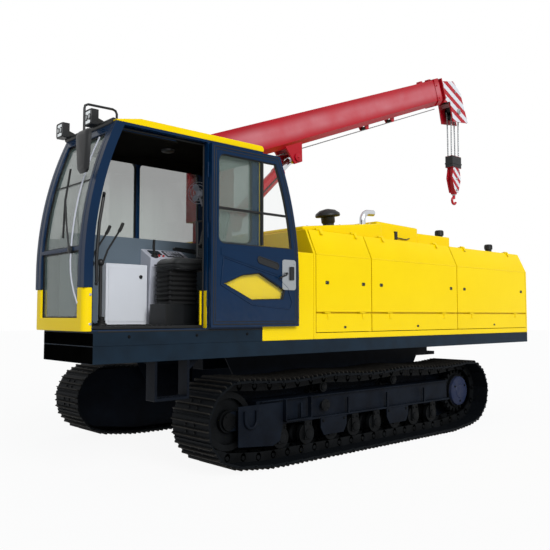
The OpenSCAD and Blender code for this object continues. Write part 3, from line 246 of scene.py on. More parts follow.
def band(outline, normal, near, far):
    """The part of an outline that lies between two parallel lines."""
    for sign, limit in ((1, near), (-1, -far)):
        kept = []
        for p, q in zip(outline, outline[1:] + outline[:1]):
            dp = sign * (p[0] * normal[0] + p[1] * normal[1]) - limit
            dq = sign * (q[0] * normal[0] + q[1] * normal[1]) - limit
            if dp >= 0:
                kept.append(p)
            if dp * dq < 0:
                t = dp / (dp - dq)
                kept.append((p[0] + t * (q[0] - p[0]), p[1] + t * (q[1] - p[1])))
        outline = kept
        if not outline:
            break
    return outline


def rounded(x0, z0, x1, z1, r, steps=6):
    """Rectangle with round corners, as outline points."""
    out = []
    for cx, cz, turn in ((x1 - r, z1 - r, 0), (x0 + r, z1 - r, 90), (x0 + r, z0 + r, 180),
                         (x1 - r, z0 + r, 270)):
        for i in range(steps + 1):
            a = math.radians(turn + 90 * i / steps)
            out.append((cx + r * math.cos(a), cz + r * math.sin(a)))
    return out


def warning_bands(outline, degrees, width, first, faces, place=SIDE):
    """Bands laid across an outline, on each face of a plate; a face is its place and the band's thickness."""
    form = Form()
    tilt = math.radians(degrees)
    normal = (math.sin(tilt), math.cos(tilt))
    reach = [p[0] * normal[0] + p[1] * normal[1] for p in outline]
    for face, skin in faces:
        at = min(reach) + first
        while at < max(reach):
            piece = band(outline, normal, at, min(at + width, max(reach)))
            if len(piece) > 2:
                form.prism(piece, (face, face + skin), place)
            at += 2 * width
    return form


# Materials

def linear(code):
    """sRGB hex code to linear colour."""
    parts = [int(code[i:i + 2], 16) / 255 for i in (1, 3, 5)]
    return tuple(c / 12.92 if c <= 0.04045 else ((c + 0.055) / 1.055) ** 2.4 for c in parts) + (1.0,)


def add_node(tree, kind, inputs=None, **settings):
    """Adds a node, sets its options, and sets or links its inputs."""
    node = tree.nodes.new(kind)
    for key, value in settings.items():
        setattr(node, key, value)
    for key, value in (inputs or {}).items():
        if isinstance(value, bpy.types.NodeSocket):
            tree.links.new(value, node.inputs[key])
        else:
            node.inputs[key].default_value = value
    return node


def start(name, **sockets):
    """New material with constant shader values; returns its tree, shader and object coordinates."""
    material = bpy.data.materials.new(name)
    material.use_nodes = True
    tree = material.node_tree
    shader = tree.nodes["Principled BSDF"]
    for key, value in sockets.items():
        shader.inputs[key.replace("_", " ")].default_value = value
    return tree, shader, add_node(tree, "ShaderNodeTexCoord").outputs["Object"]


def noise(tree, where, size, detail):
    """Noise in blotches of about a size in metres."""
    values = {"Vector": where, "Scale": 1 / size, "Detail": detail}
    return add_node(tree, "ShaderNodeTexNoise", values).outputs["Fac"]


def wave(tree, where, pitch, distortion, direction):
    """Soft bands a pitch apart, in metres."""
    values = {"Vector": where, "Scale": 1 / pitch / 3, "Distortion": distortion}
    return add_node(tree, "ShaderNodeTexWave", values, bands_direction=direction).outputs["Fac"]


def ranged(tree, value, low, high, near=0.0, far=1.0, **settings):
    """A value between near and far, mapped to low and high."""
    values = {"Value": value, "From Min": near, "From Max": far, "To Min": low, "To Max": high}
    return add_node(tree, "ShaderNodeMapRange", values, **settings).outputs["Result"]


def reckon(tree, operation, *values):
    """Result of a sum on one or two values."""
    return add_node(tree, "ShaderNodeMath", dict(enumerate(values)), operation=operation).outputs[0]


def blend(tree, share, first, second):
    """Mix of two colours."""
    return add_node(tree, "ShaderNodeMix", {0: share, 6: first, 7: second}, data_type="RGBA").outputs[2]


def relief(tree, height, strength, depth):
    """Bumps of a depth in metres."""
    values = {"Height": height, "Strength": strength, "Distance": depth}
    return add_node(tree, "ShaderNodeBump", values).outputs["Normal"]


def connect(tree, shader, **sockets):
    """Links a finish's results to its shader."""
    for key, socket in sockets.items():
        tree.links.new(socket, shader.inputs[key.replace("_", " ")])


def scaled(colour, factor):
    return tuple(c * factor for c in colour)


def enamel(name, colour, shade, rough=0.3, coat=0.12, shine=0.28, painted_highlight=None):
    """Sprayed two-pack enamel on sheet steel: even and glossy, with faint orange peel and road dust."""
    tree, shader, where = start(name, Coat_Weight=coat, Coat_Roughness=0.06, Specular_IOR_Level=shine)
    # Cloudy patches about 450 mm across, where dust and polish have dulled the gloss
    cloud = noise(tree, where, 0.45, 4.0)
    # Settled dust thickens towards the ground and breaks up in 60 mm specks
    height = add_node(tree, "ShaderNodeSeparateXYZ", {"Vector": where}).outputs["Z"]
    low = ranged(tree, height, 0.10, 0.0, 1.0, 1.9)
    dust = reckon(tree, "MULTIPLY", low, noise(tree, where, 0.06, 6.0))
    tone = blend(tree, dust, blend(tree, cloud, colour, shade), linear("#8f8672"))
    if painted_highlight:
        # Painted highlight: the middle of the boom's 400 mm flank is lightened towards pale pink, standing
        # for light reflected along it; its rolled edges keep the deeper red
        height = add_node(tree, "ShaderNodeVectorMath", {0: where, 1: BOOM_V}, operation="DOT_PRODUCT")
        off = reckon(tree, "SUBTRACT", height.outputs["Value"], FOOT.dot(BOOM_V) + 0.02)
        highlight_share = ranged(tree, reckon(tree, "ABSOLUTE", off), 0.42, 0.0, 0.03, 0.16,
                        interpolation_type="SMOOTHSTEP")
        tone = blend(tree, reckon(tree, "MULTIPLY", highlight_share, cloud), tone, painted_highlight)
    # Orange peel is 2 to 4 mm wide on the real panel, drawn at 14 mm so that it shows
    peel = noise(tree, where, 0.014, 1.0)
    connect(tree, shader, Base_Color=tone, Roughness=ranged(tree, cloud, rough - 0.06, rough + 0.1),
            Normal=relief(tree, peel, 0.05, 0.002))


def satin(name, colour, shade, rough=0.5, shine=0.2):
    """Brushed-on chassis paint over steel plate: satin, slightly uneven, with grey dust in its texture."""
    tree, shader, where = start(name, Specular_IOR_Level=shine)
    # Blotches about 200 mm across from uneven film and dust
    ramp = ranged(tree, noise(tree, where, 0.2, 5.0), 0.0, 1.0, 0.35, 0.75)
    # Plate texture is under a millimetre; drawn at 8 mm
    pit = noise(tree, where, 0.008, 3.0)
    connect(tree, shader, Base_Color=blend(tree, ramp, colour, shade),
            Roughness=ranged(tree, pit, rough - 0.1, rough + 0.14), Normal=relief(tree, pit, 0.12, 0.002))


def moulded(name, colour, rough, grain, depth):
    """Moulded plastic or rubber with a spark-eroded grain that breaks up the highlight."""
    tree, shader, where = start(name, Specular_IOR_Level=0.3, Base_Color=colour)
    cell = add_node(tree, "ShaderNodeTexVoronoi", {"Vector": where, "Scale": 1 / grain})
    soft = noise(tree, where, 0.09, 3.0)
    connect(tree, shader, Roughness=ranged(tree, soft, rough - 0.08, rough + 0.08),
            Normal=relief(tree, cell.outputs["Distance"], depth, 0.001))


def bare_metal(name, colour, rough, streak, depth):
    """Plated or polished metal: a bright reflection broken by fine drawing marks."""
    tree, shader, where = start(name, Metallic=1.0, Base_Color=colour)
    mark = noise(tree, where, streak, 4.0)
    connect(tree, shader, Roughness=ranged(tree, mark, rough * 0.7, rough * 1.5),
            Normal=relief(tree, mark, depth, 0.001))


def pane(name, colour, alpha, rough):
    """Float glass tinted in the melt: clear and hard, with a faint film of dust on it."""
    tree, shader, where = start(name, Alpha=alpha, Coat_Weight=0.6, Coat_Roughness=0.03)
    film = noise(tree, where, 0.3, 5.0)
    connect(tree, shader, Base_Color=blend(tree, film, colour, scaled(colour, 0.8)),
            Roughness=ranged(tree, film, rough, rough + 0.08))


def track_steel():
    """Rolled and quenched boron steel, black from the furnace, rubbed brown-grey on the grouser crests."""
    tree, shader, where = start("Rolled track steel", Metallic=0.1, Specular_IOR_Level=0.05)
    wear = add_node(tree, "ShaderNodeAttribute", attribute_name="wear").outputs["Fac"]
    # Scale and dried mud in patches about 35 mm across
    patch = noise(tree, where, 0.035, 6.0)
    dark = blend(tree, patch, linear("#050709"), linear("#101317"))
    tone = blend(tree, reckon(tree, "MULTIPLY", wear, patch), dark, linear("#37342f"))
    connect(tree, shader, Base_Color=tone, Roughness=ranged(tree, patch, 0.45, 0.7),
            Normal=relief(tree, patch, 0.2, 0.003))


def seat_cloth(colour):
    """Woven polyester seat cloth: crossed threads with a soft sheen at grazing angles."""
    tree, shader, where = start("Woven polyester", Sheen_Weight=0.35, Sheen_Roughness=0.4)
    # Thread spacing is about 1 mm, drawn at 6 mm so that the weave shows
    warp, weft = (wave(tree, where, 0.006, 0.6, direction) for direction in "XY")
    weave = reckon(tree, "MULTIPLY", warp, weft)
    connect(tree, shader, Base_Color=blend(tree, weave, scaled(colour, 0.6), scaled(colour, 1.5)),
            Roughness=ranged(tree, weave, 0.7, 0.9), Normal=relief(tree, weave, 0.4, 0.002))


def wire_rope():
    """Greased galvanised wire rope: strands laid in a helix, dark in the valleys."""
    tree, shader, where = start("Galvanised wire rope", Metallic=0.7)
    # Strand lay is about 10 mm, drawn at 16 mm
    lay = wave(tree, where, 0.016, 1.0, "DIAGONAL")
    connect(tree, shader, Base_Color=blend(tree, lay, linear("#54585b"), linear("#a9adaf")),
            Roughness=ranged(tree, lay, 0.55, 0.35), Normal=relief(tree, lay, 0.5, 0.003))


# What a user would change

def paint(name, about, code):
    """Colour that a user can change."""
    return FloatVectorProperty(name=name, description=about, subtype="COLOR", size=4, min=0, max=1,
                               default=linear(code))


class CarrierColours(bpy.types.PropertyGroup):
    yellow: paint("Hood yellow", "Enamel of the hood, roof and cab nose", "#edcf00")
    navy: paint("Cab navy", "Enamel of the cab frame and door", "#052646")
    crimson: paint("Crane crimson", "Enamel of the crane, boom and hook block", "#b00a20")
    chassis: paint("Chassis black", "Satin paint of the undercarriage and the deck's fittings", "#080c13")
    glass: paint("Glass tint", "Tint of the cab windows", "#6f8078")
    cloth: paint("Seat cloth", "Woven cloth of the seat", "#15191b")


class CarrierSizes(bpy.types.PropertyGroup):
    seal: FloatProperty(name="Window seal", description="Radius of the rubber seals", unit="LENGTH",
                        default=0.011)
    bolt: FloatProperty(name="Bolt head", description="Radius of the crane's bolt heads", unit="LENGTH",
                        default=0.014)
    stripe: FloatProperty(name="Warning stripe", description="Width of the white bands on the boom head",
                          unit="LENGTH", default=0.08)
    shoes: IntProperty(name="Track shoes", description="Shoes in each track", default=51)


class CarrierStage(bpy.types.PropertyGroup):
    key: FloatProperty(name="Key light", description="Strength of the soft key light", default=2.5)
    fill: FloatProperty(name="Fill light", description="Strength of the even light from the surroundings",
                        default=0.42)
    lens: FloatProperty(name="Lens", description="Focal length of the camera in millimetres", default=43.77)


def sizes():
    """The sizes that a user can change."""
    return bpy.context.scene.carrier_sizes


class CARRIER_OT_finishes(bpy.types.Operator):
    """Make the finishes and put them on the frame's own parts"""
    bl_idname = "carrier.finishes"
    bl_label = "Finishes"

    # Finish and edge radius of each part of the frame
    parts = {
        "Yellow enamel": (0.008, "hood_front_wall hood_rear_wall hood_top hood_posts hood_rails hood_sills "
                          "hood_right_panels hood_door_1 hood_door_2 hood_door_3 "
                          "hood_flap_1 hood_flap_2 hood_flap_3 cab_roof cab_nose_panel bay_panel"),
        "Navy enamel": (0.007, "cab_left_wall cab_right_wall cab_rear_wall cab_front_frame cab_door"),
        "Crimson enamel": (0.005, "crane_base crane_column lift_barrel boom_mid boom_tip hook_block hook"),
        # The boom's flank carries a pale painted highlight along its middle
        "Crimson enamel with painted highlight": (0.005, "boom_base"),
        "Chassis paint": (0.006, "track_frames car_body car_legs deck_beams tow_plate boarding_step"),
        "Deck paint": (0.006, "deck_frame cab_base"),
        "Forged steel": (0.004, "idlers sprockets track_rollers carrier_rollers head_sheaves"),
        "Grey cast iron": (0.006, "engine_block"),
        "Tinted glass": (0.0, "cab_glass"),
        "Clear glass": (0.0, "cab_door_glass"),
        "Hard chrome": (0.003, "lift_rod exhaust"),
        "Black ABS": (0.004, "air_cleaner work_lamps side_mirror control_levers seat_base cab_floor"),
        "Grey ABS": (0.010, "console"),
        "White enamel": (0.008, "cabinet"),
        "Woven polyester": (0.01, "seat"),
        "Galvanised wire rope": (0.0, "hoist_ropes"),
        "Rolled track steel": (0.0, "track_left track_right"),
    }

    def execute(self, context):
        c = context.scene.carrier_colours
        enamel("Yellow enamel", c.yellow, linear("#e6c500"), 0.34, 0.04, 0.08)
        enamel("Navy enamel", c.navy, linear("#041c34"), 0.22, 0.08, 0.08)
        enamel("Crimson enamel", c.crimson, linear("#92091a"), 0.28, 0.1, 0.18)
        # Boom crimson with a pale painted highlight along the middle of its flank
        enamel("Crimson enamel with painted highlight", c.crimson, linear("#92091a"), 0.28, 0.1, 0.18, linear("#f0b4bf"))
        enamel("White enamel", linear("#d5d9df"), linear("#c6cad2"), 0.36)
        enamel("Blue-grey enamel", linear("#0e2042"), linear("#0b1832"), 0.36, 0.03, 0.05)
        satin("Chassis paint", c.chassis, linear("#10161f"), 0.5, 0.05)
        satin("Deck paint", linear("#142330"), linear("#101b25"), 0.45, 0.08)
        # Near-black matt finish of the deck's front face plates: painted shade of that unlit front
        satin("Painted-shade black", linear("#030303"), linear("#060606"), 0.85, 0.0)
        satin("Forged steel", linear("#08090a"), linear("#131517"), 0.45, 0.05)
        # Near-black felt of the cab's ceiling: a real headlining, darkened as painted shade of the unlit
        # interior
        satin("Painted-shade felt", linear("#0c0b09"), linear("#12110e"), 0.9, 0.02)
        satin("Grey cast iron", linear("#55585a"), linear("#414446"), 0.55)
        # ABS and rubber grain is 0.3 mm on the real mouldings, drawn at 4 mm
        moulded("Black ABS", linear("#131517"), 0.42, 0.004, 0.12)
        moulded("Grey ABS", linear("#b4b7c2"), 0.48, 0.004, 0.1)
        moulded("Red ABS", linear("#a81c1c"), 0.35, 0.004, 0.06)
        moulded("Blue-grey lining", linear("#57646f"), 0.6, 0.006, 0.15)
        moulded("EPDM rubber", linear("#0b0c0d"), 0.62, 0.005, 0.2)
        moulded("Display glass", linear("#0a0e12"), 0.12, 0.03, 0.0)
        bare_metal("Hard chrome", linear("#c9ccd0"), 0.16, 0.01, 0.02)
        bare_metal("Zinc plate", linear("#9ea3a6"), 0.36, 0.006, 0.06)
        bare_metal("Mirror silver", linear("#d6dcde"), 0.04, 0.2, 0.0)
        pane("Tinted glass", c.glass, 0.46, 0.03)
        pane("Clear glass", linear("#8fa39a"), 0.06, 0.03)
        pane("Lamp lens", linear("#cfd4d4"), 0.7, 0.08)
        track_steel()
        seat_cloth(c.cloth)
        wire_rope()
        for finish, (bevel, names) in self.parts.items():
            for name in names.split():
                node = NODES[name]
                node.data.materials.clear()
                node.data.materials.append(bpy.data.materials[finish])
                custom = node.data.attributes.get("custom_normal")
                if custom:
                    node.data.attributes.remove(custom)
                for face in node.data.polygons:
                    face.use_smooth = True
                weld = node.modifiers.new("Joined corners", "WELD")
                weld.merge_threshold = 0.00002
                if bevel:
                    edge = node.modifiers.new("Eased edges", "BEVEL")
                    edge.width = bevel
                    edge.segments = 2
                    edge.limit_method = "ANGLE"
                    edge.angle_limit = math.radians(28)
                    edge.use_clamp_overlap = True
                even = node.modifiers.new("Even shading", "WEIGHTED_NORMAL")
                even.weight = 60
        return {"FINISHED"}


class CARRIER_OT_tracks(bpy.types.Operator):
    """Lay both tracks: triple-grouser shoes, bolts, links and pins"""
    bl_idname = "carrier.tracks"
    bl_label = "Tracks"

    # Pin line: radius round the wheels, height on the ground, climb to the wheels and its length
    pin_r = 0.355
    pin_low = 0.086
    rise = 0.045
    flat_end = 0.42
    # Shoe: distance outside the pin line, plate's thickness, bars' height, half width
    shoe_out = 0.060
    plate = 0.016
    grouser = 0.026
    half_w = 0.3
    # Depth of the upper run's sag, as a share of its span
    sag = 0.03

    def pins(self, count):
        """Pin places round the loop in X and Z; the upper run sags between its rollers."""
        middle = (IDLER_X + SPROCKET_X) / 2
        half = (IDLER_X - SPROCKET_X) / 2
        flat = half - self.flat_end
        reach = math.hypot(self.flat_end, self.pin_r + self.rise)
        climb = math.atan2(self.pin_r + self.rise, self.flat_end) - math.asin(self.pin_r / reach)
        arc = [-math.pi / 2 + climb + i * (math.pi - climb) / 16 for i in range(17)]
        nose = [(half + self.pin_r * math.cos(a), AXLE_Z + self.pin_r * math.sin(a)) for a in arc]
        props = [half, hi("carrier_rollers").x - CARRIER_ROLLER_R - middle,
                 lo("carrier_rollers").x + CARRIER_ROLLER_R - middle, -half]
        upper = []
        for a, b in zip(props, props[1:]):
            for i in range(1, 12):
                t = i / 12
                upper.append((a + (b - a) * t, AXLE_Z + self.pin_r - 4 * self.sag * t * (1 - t) * (a - b)))
        line = [(-flat, self.pin_low), (flat, self.pin_low)] + nose + upper + [(-x, z) for x, z in nose[::-1]]
        line = [Vector(p) for p in line + line[:1]]
        lengths = [(b - a).length for a, b in zip(line, line[1:])]
        pitch = sum(lengths) / count
        out = []
        for k in range(count):
            s = k * pitch
            i = 0
            while i < len(lengths) - 1 and s > lengths[i]:
                s -= lengths[i]
                i += 1
            out.append(line[i].lerp(line[i + 1], s / lengths[i]))
        return out

    def execute(self, context):
        count = sizes().shoes
        pins = self.pins(count)
        middle = (IDLER_X + SPROCKET_X) / 2
        # Shoe from its hooked front lip to its tail: share of the pitch, share of the grouser's height
        profile = [(-0.1, -0.75), (-0.02, -0.6), (0.03, 0), (0.1, 0), (0.125, 1), (0.165, 1), (0.2, 0),
                   (0.45, 0), (0.475, 0.94), (0.525, 0.94), (0.55, 0), (0.8, 0), (0.825, 1), (0.865, 1),
                   (0.89, 0), (0.955, 0), (1.0, -0.1), (1.07, -0.25)]
        link = [(-0.16, -0.02), (-0.08, -0.046), (0.2, -0.052), (0.8, -0.052), (1.08, -0.046), (1.16, -0.02),
                (1.16, 0.012), (1.04, 0.034), (0.82, 0.043), (0.18, 0.043), (-0.04, 0.034), (-0.16, 0.012)]
        for name, side in (("left", 1), ("right", -1)):
            track = Form()
            worn = []
            for i in range(count):
                a, b = pins[i], pins[(i + 1) % count]
                step = (b - a).length
                along = (b - a) / step
                out = Vector((along.y, -along.x))

                def at(share, height, y):
                    p = a + along * (share * step) + out * height
                    return Vector((p.x + middle, side * GAUGE_HALF + y, p.y))

                track.finish = 0
                rings = []
                for y, crest in ((-self.half_w, 0.55), (-self.half_w + 0.014, 1), (self.half_w - 0.014, 1),
                                 (self.half_w, 0.55)):
                    ring = [at(s, self.shoe_out + g * self.grouser * (crest if g > 0 else 1), y)
                            for s, g in profile]
                    ring += [at(1.07, self.shoe_out - self.plate, y),
                             at(-0.1, self.shoe_out - self.plate - 0.01, y)]
                    rings.append(ring)
                rows = track.loft(rings)
                track.bm.verts.index_update()
                worn += [v.index for row in rows for v, (s, g) in zip(row, profile) if g > 0.5]
                track.finish = 1
                for y in (-0.068, 0.068):
                    # Link: a waisted plate; neighbours lie inside and outside each other by turns
                    beside = y + math.copysign(0.012 if i % 2 else -0.012, y)
                    track.loft([[at(s, h, beside + d) for s, h in link] for d in (-0.0115, 0.0115)])
                    for s in (0.325, 0.675):
                        track.bolt(at(s, self.shoe_out - 0.001, y), at(s, 1, y) - at(s, 0, y), 0.013)
                track.lathe([(0.02, -0.096), (0.025, -0.09), (0.025, 0.09), (0.02, 0.096)],
                            facing(at(0, 0, 0), (0, 1, 0)), 14)
            piece = track.done(f"track_shoes_{name}", "carrier", ("Rolled track steel", "Forged steel"),
                               "track_steel", sharp=30)
            layer = piece.data.attributes.new("wear", "FLOAT", "POINT")
            for i in worn:
                layer.data[i].value = 1.0
            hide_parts(f"track_{name}")
        return {"FINISHED"}


class CARRIER_OT_undercarriage(bpy.types.Operator):
    """Dress the side frames: drive covers, hub caps, roller guards, belly plates and foot steps"""
    bl_idname = "carrier.undercarriage"
    bl_label = "Undercarriage"

    roller_r = 0.112
    roller_count = 8
    # Radius of the dark shields round the wheels, which also stand in for the shaded inside of the
    # undercarriage
    shield_r = 0.36

    def four_bolts(self, form, centre, out, radius, size):
        """Four bolts in a ring on a side face."""
        for i in range(4):
            a = math.pi * (i + 0.5) / 2
            form.bolt(centre + Vector((radius * math.cos(a), 0, radius * math.sin(a))), out, size)

    def execute(self, context):
        drives = Form()
        frames = Form()
        face = hi("track_frames").y
        mid = (IDLER_X + SPROCKET_X) / 2
        top = hi("track_frames").z
        under_deck = lo("deck_frame").z
        rollers = lo("track_rollers").x + self.roller_r, hi("track_rollers").x - self.roller_r
        gap = (rollers[1] - rollers[0]) / (self.roller_count - 1)
        for side in (1, -1):
            out = Vector((0, side, 0))
            hub = Vector((SPROCKET_X, side * hi("sprockets").y, AXLE_Z))
            # Drive cover: a plain dished disc with three plugs
            drives.finish = 0
            drives.lathe([(0.2, -0.09), (0.2, -0.03), (0.192, 0.0), (0.16, 0.012), (0.1, 0.014),
                          (0.09, 0.022), (0.03, 0.024)], facing(hub, out), 48)
            drives.finish = 1
            for turn in (0.5, 2.6, 4.7):
                drives.bolt(hub + Vector((0.135 * math.cos(turn), side * 0.011, 0.135 * math.sin(turn))), out,
                            0.012)
            # Idler hub: cap and its bolts
            idler = Vector((IDLER_X, side * hi("idlers").y, AXLE_Z))
            drives.lathe([(0.09, -0.026), (0.09, -0.002), (0.05, 0.006), (0.03, 0.006)], facing(idler, out),
                         32)
            self.four_bolts(drives, idler - out * 0.002, out, 0.072, 0.010)
            # Side frame: stiffening ribs, tensioner port with its cover, weld seam along the top
            y0 = side * face
            frames.finish = 0
            for x in (mid - 1.1, mid - 0.35, mid + 0.35, mid + 1.1):
                frames.prism([(x - 0.012, 0.424), (x + 0.012, 0.424), (x + 0.012, 0.6), (x - 0.012, 0.6)],
                             (y0 - side * 0.002, y0 + side * 0.02))
            frames.tube([(x, side * (face - 0.003), top - 0.003)
                         for x in (SPROCKET_X + 0.36, IDLER_X - 0.36)], 0.008, 8)
            port = Vector((mid + 0.72, y0, 0.54))
            frames.finish = 1
            frames.lathe([(0.066, -0.002), (0.066, 0.008), (0.058, 0.012)], facing(port, out), 32)
            self.four_bolts(frames, port + out * 0.01, out, 0.05, 0.008)
            # Belly plate between side frame and deck, and a dust shield behind wheels and rollers; both are
            # dark plates that also stand in, as painted shade, for the undercarriage's shaded inside seen
            # through the gaps
            frames.finish = 0
            frames.prism([(mid - 1.4, 0.6), (mid + 1.45, 0.6), (mid + 1.75, under_deck),
                          (mid - 1.75, under_deck)],
                         (side * (GAUGE_HALF - 0.36), side * (GAUGE_HALF - 0.345)))
            shield = [(x + self.shield_r * math.cos(math.radians(a)),
                       AXLE_Z + self.shield_r * math.sin(math.radians(a)))
                      for x, first in ((IDLER_X, -70), (SPROCKET_X, 90))
                      for a in range(first, first + 161, 10)]
            shield += [(SPROCKET_X + 0.45, 0.075), (IDLER_X - 0.45, 0.075)]
            frames.prism(shield, (side * (GAUGE_HALF - 0.195), side * (GAUGE_HALF - 0.18)))
            # Front guard over the idler's yoke, with a hook to tie the machine down
            frames.prism([(IDLER_X - 0.64, 0.41), (IDLER_X - 0.64, 0.63), (IDLER_X - 0.05, 0.63),
                          (IDLER_X - 0.05, 0.24), (IDLER_X - 0.5, 0.2), (IDLER_X - 0.6, 0.24)],
                         (y0 + side * 0.001, y0 + side * 0.014))
            hook = [(IDLER_X - 0.2 + 0.075 * math.cos(a), y0 + side * 0.03, 0.5 + 0.09 * math.sin(a))
                    for a in (math.pi + math.pi * k / 10 for k in range(11))]
            frames.tube([(hook[0][0], hook[0][1], 0.58)] + hook + [(hook[-1][0], hook[-1][1], 0.58)], 0.016,
                        10)
            # Foot step: a bent flat bar with a serrated tread
            x0, x1 = mid + 0.98, mid + 1.36
            step = [(x0, top), (x0, 0.44), (x0 + 0.012, 0.428), (x1 - 0.012, 0.428), (x1, 0.44), (x1, top)]
            frames.prism(step + [(x1 - 0.012, top), (x1 - 0.012, 0.45), (x1 - 0.018, 0.44),
                                 (x0 + 0.018, 0.44), (x0 + 0.012, 0.45), (x0 + 0.012, top)],
                         (y0 + side * 0.001, y0 + side * 0.055))
            for i in range(12):
                x = x0 + 0.03 + i * (x1 - x0 - 0.06) / 11
                frames.box((x - 0.005, min(y0, y0 + side * 0.052), 0.439),
                           (x + 0.005, max(y0, y0 + side * 0.052), 0.446))
            # Rollers: hub caps and bracket bolts; outer guards over two pairs
            frames.finish = 1
            for i in range(self.roller_count):
                x = rollers[0] + i * gap
                for dx in (-0.034, 0.034):
                    frames.bolt(Vector((x + dx, side * hi("track_rollers").y, 0.36)), out, 0.012)
                axle = Vector((x, side * hi("track_rollers").y, 0.251))
                frames.lathe([(0.048, -0.002), (0.048, 0.008), (0.03, 0.013)], facing(axle, out), 20)
            for i in (2, 5):
                x = rollers[0] + i * gap
                frames.finish = 0
                guard = [(x - 0.21, 0.402), (x + 0.21, 0.402), (x + 0.21, 0.30), (x + 0.16, 0.215),
                         (x - 0.16, 0.215), (x - 0.21, 0.30)]
                frames.prism(guard, (side * (GAUGE_HALF + 0.132), side * (GAUGE_HALF + 0.148)))
                frames.finish = 1
                for dx in (-0.17, 0.17):
                    frames.bolt(Vector((x + dx, side * (GAUGE_HALF + 0.148), 0.37)), out, 0.013)
            low, high = lo("carrier_rollers"), hi("carrier_rollers")
            for x in (low.x + CARRIER_ROLLER_R, high.x - CARRIER_ROLLER_R):
                cap = Vector((x, side * high.y, high.z - CARRIER_ROLLER_R))
                frames.lathe([(0.04, -0.004), (0.04, 0.01), (0.025, 0.016)], facing(cap, out), 20)
        drives.done("drive_covers", "carrier", ("Blue-grey enamel", "Forged steel"), "drive_grey")
        frames.done("side_frame_fittings", "carrier", ("Chassis paint", "Forged steel"), "frame_black",
                    bevel=0.002)
        return {"FINISHED"}


class CARRIER_OT_deck(bpy.types.Operator):
    """Dress the deck: skirt lip, face plates, step bracket and grips, tread mat and cab seal"""
    bl_idname = "carrier.deck"
    bl_label = "Deck"

    def execute(self, context):
        deck = Form()
        low, high = lo("deck_frame"), hi("deck_frame")
        step_low, step_high = lo("boarding_step"), hi("boarding_step")
        # Rolled lower lip along the left skirt, in two lengths
        for x0, x1 in ((low.x + 0.01, 1.0), (1.06, FRONT - 0.01)):
            deck.prism([(LEFT - 0.03, low.z + 0.012), (LEFT - 0.001, low.z + 0.012),
                        (LEFT - 0.001, low.z + 0.002), (LEFT - 0.03, low.z + 0.002)], (x0, x1), CROSS)
        # Face plates across the front of the deck and of the cab's base, near-black and matt: painted shade
        # of these unlit front faces
        deck.finish = 3
        deck.box((FRONT - 0.001, CAB_RIGHT + 0.006, low.z + 0.004),
                 (FRONT + 0.002, high.y - 0.006, high.z - 0.004))
        deck.box((FRONT - 0.001, CAB_RIGHT + 0.006, high.z + 0.004),
                 (FRONT + 0.002, CAB_LEFT - 0.006, BASE_TOP - 0.016))
        deck.finish = 0
        # Angled bracket that ties the boarding step to the deck
        deck.prism([(step_low.x - 0.16, low.z), (step_low.x + 0.02, low.z),
                    (step_low.x + 0.02, low.z - 0.16)],
                   (LEFT - 0.09, LEFT - 0.078))
        # Punched grips on the step's tread
        for i in range(9):
            x = step_low.x + 0.045 + i * (step_high.x - step_low.x - 0.09) / 8
            for y in (step_low.y + 0.03, step_low.y + 0.075, step_low.y + 0.12):
                deck.lathe([(0.011, 0.023), (0.009, 0.028), (0.005, 0.028)],
                           PLAN @ Matrix.Translation((x, y, step_low.z)), 12)
        # Ribbed tread mat on the right deck beside the crane
        for i in range(9):
            x = lo("crane_base").x + 0.9 + i * 0.075
            deck.box((x - 0.008, -1.2, high.z - 0.001), (x + 0.008, CAB_RIGHT - 0.12, high.z + 0.004))
        deck.finish = 1
        for x in (CAB_REAR + 0.2, CAB_REAR + 0.8, CAB_REAR + 1.5):
            deck.bolt((x, CAB_LEFT - 0.001, BASE_TOP - 0.05), (0, 1, 0), 0.011)
        # Rubber seal between the cab and its base
        deck.finish = 2
        edge = [(CAB_REAR, CAB_LEFT - 0.006), (FRONT - 0.04, CAB_LEFT - 0.006),
                (FRONT - 0.008, CAB_LEFT - 0.05), (FRONT - 0.008, CAB_RIGHT + 0.05),
                (FRONT - 0.04, CAB_RIGHT + 0.006), (CAB_REAR, CAB_RIGHT + 0.006)]
        deck.tube([(x, y, BASE_TOP - 0.004) for x, y in edge], 0.009, 8)
        deck.done("deck_fittings", "carrier",
                  ("Chassis paint", "Forged steel", "EPDM rubber", "Painted-shade black"), "deck_navy", bevel=0.0015)
        return {"FINISHED"}


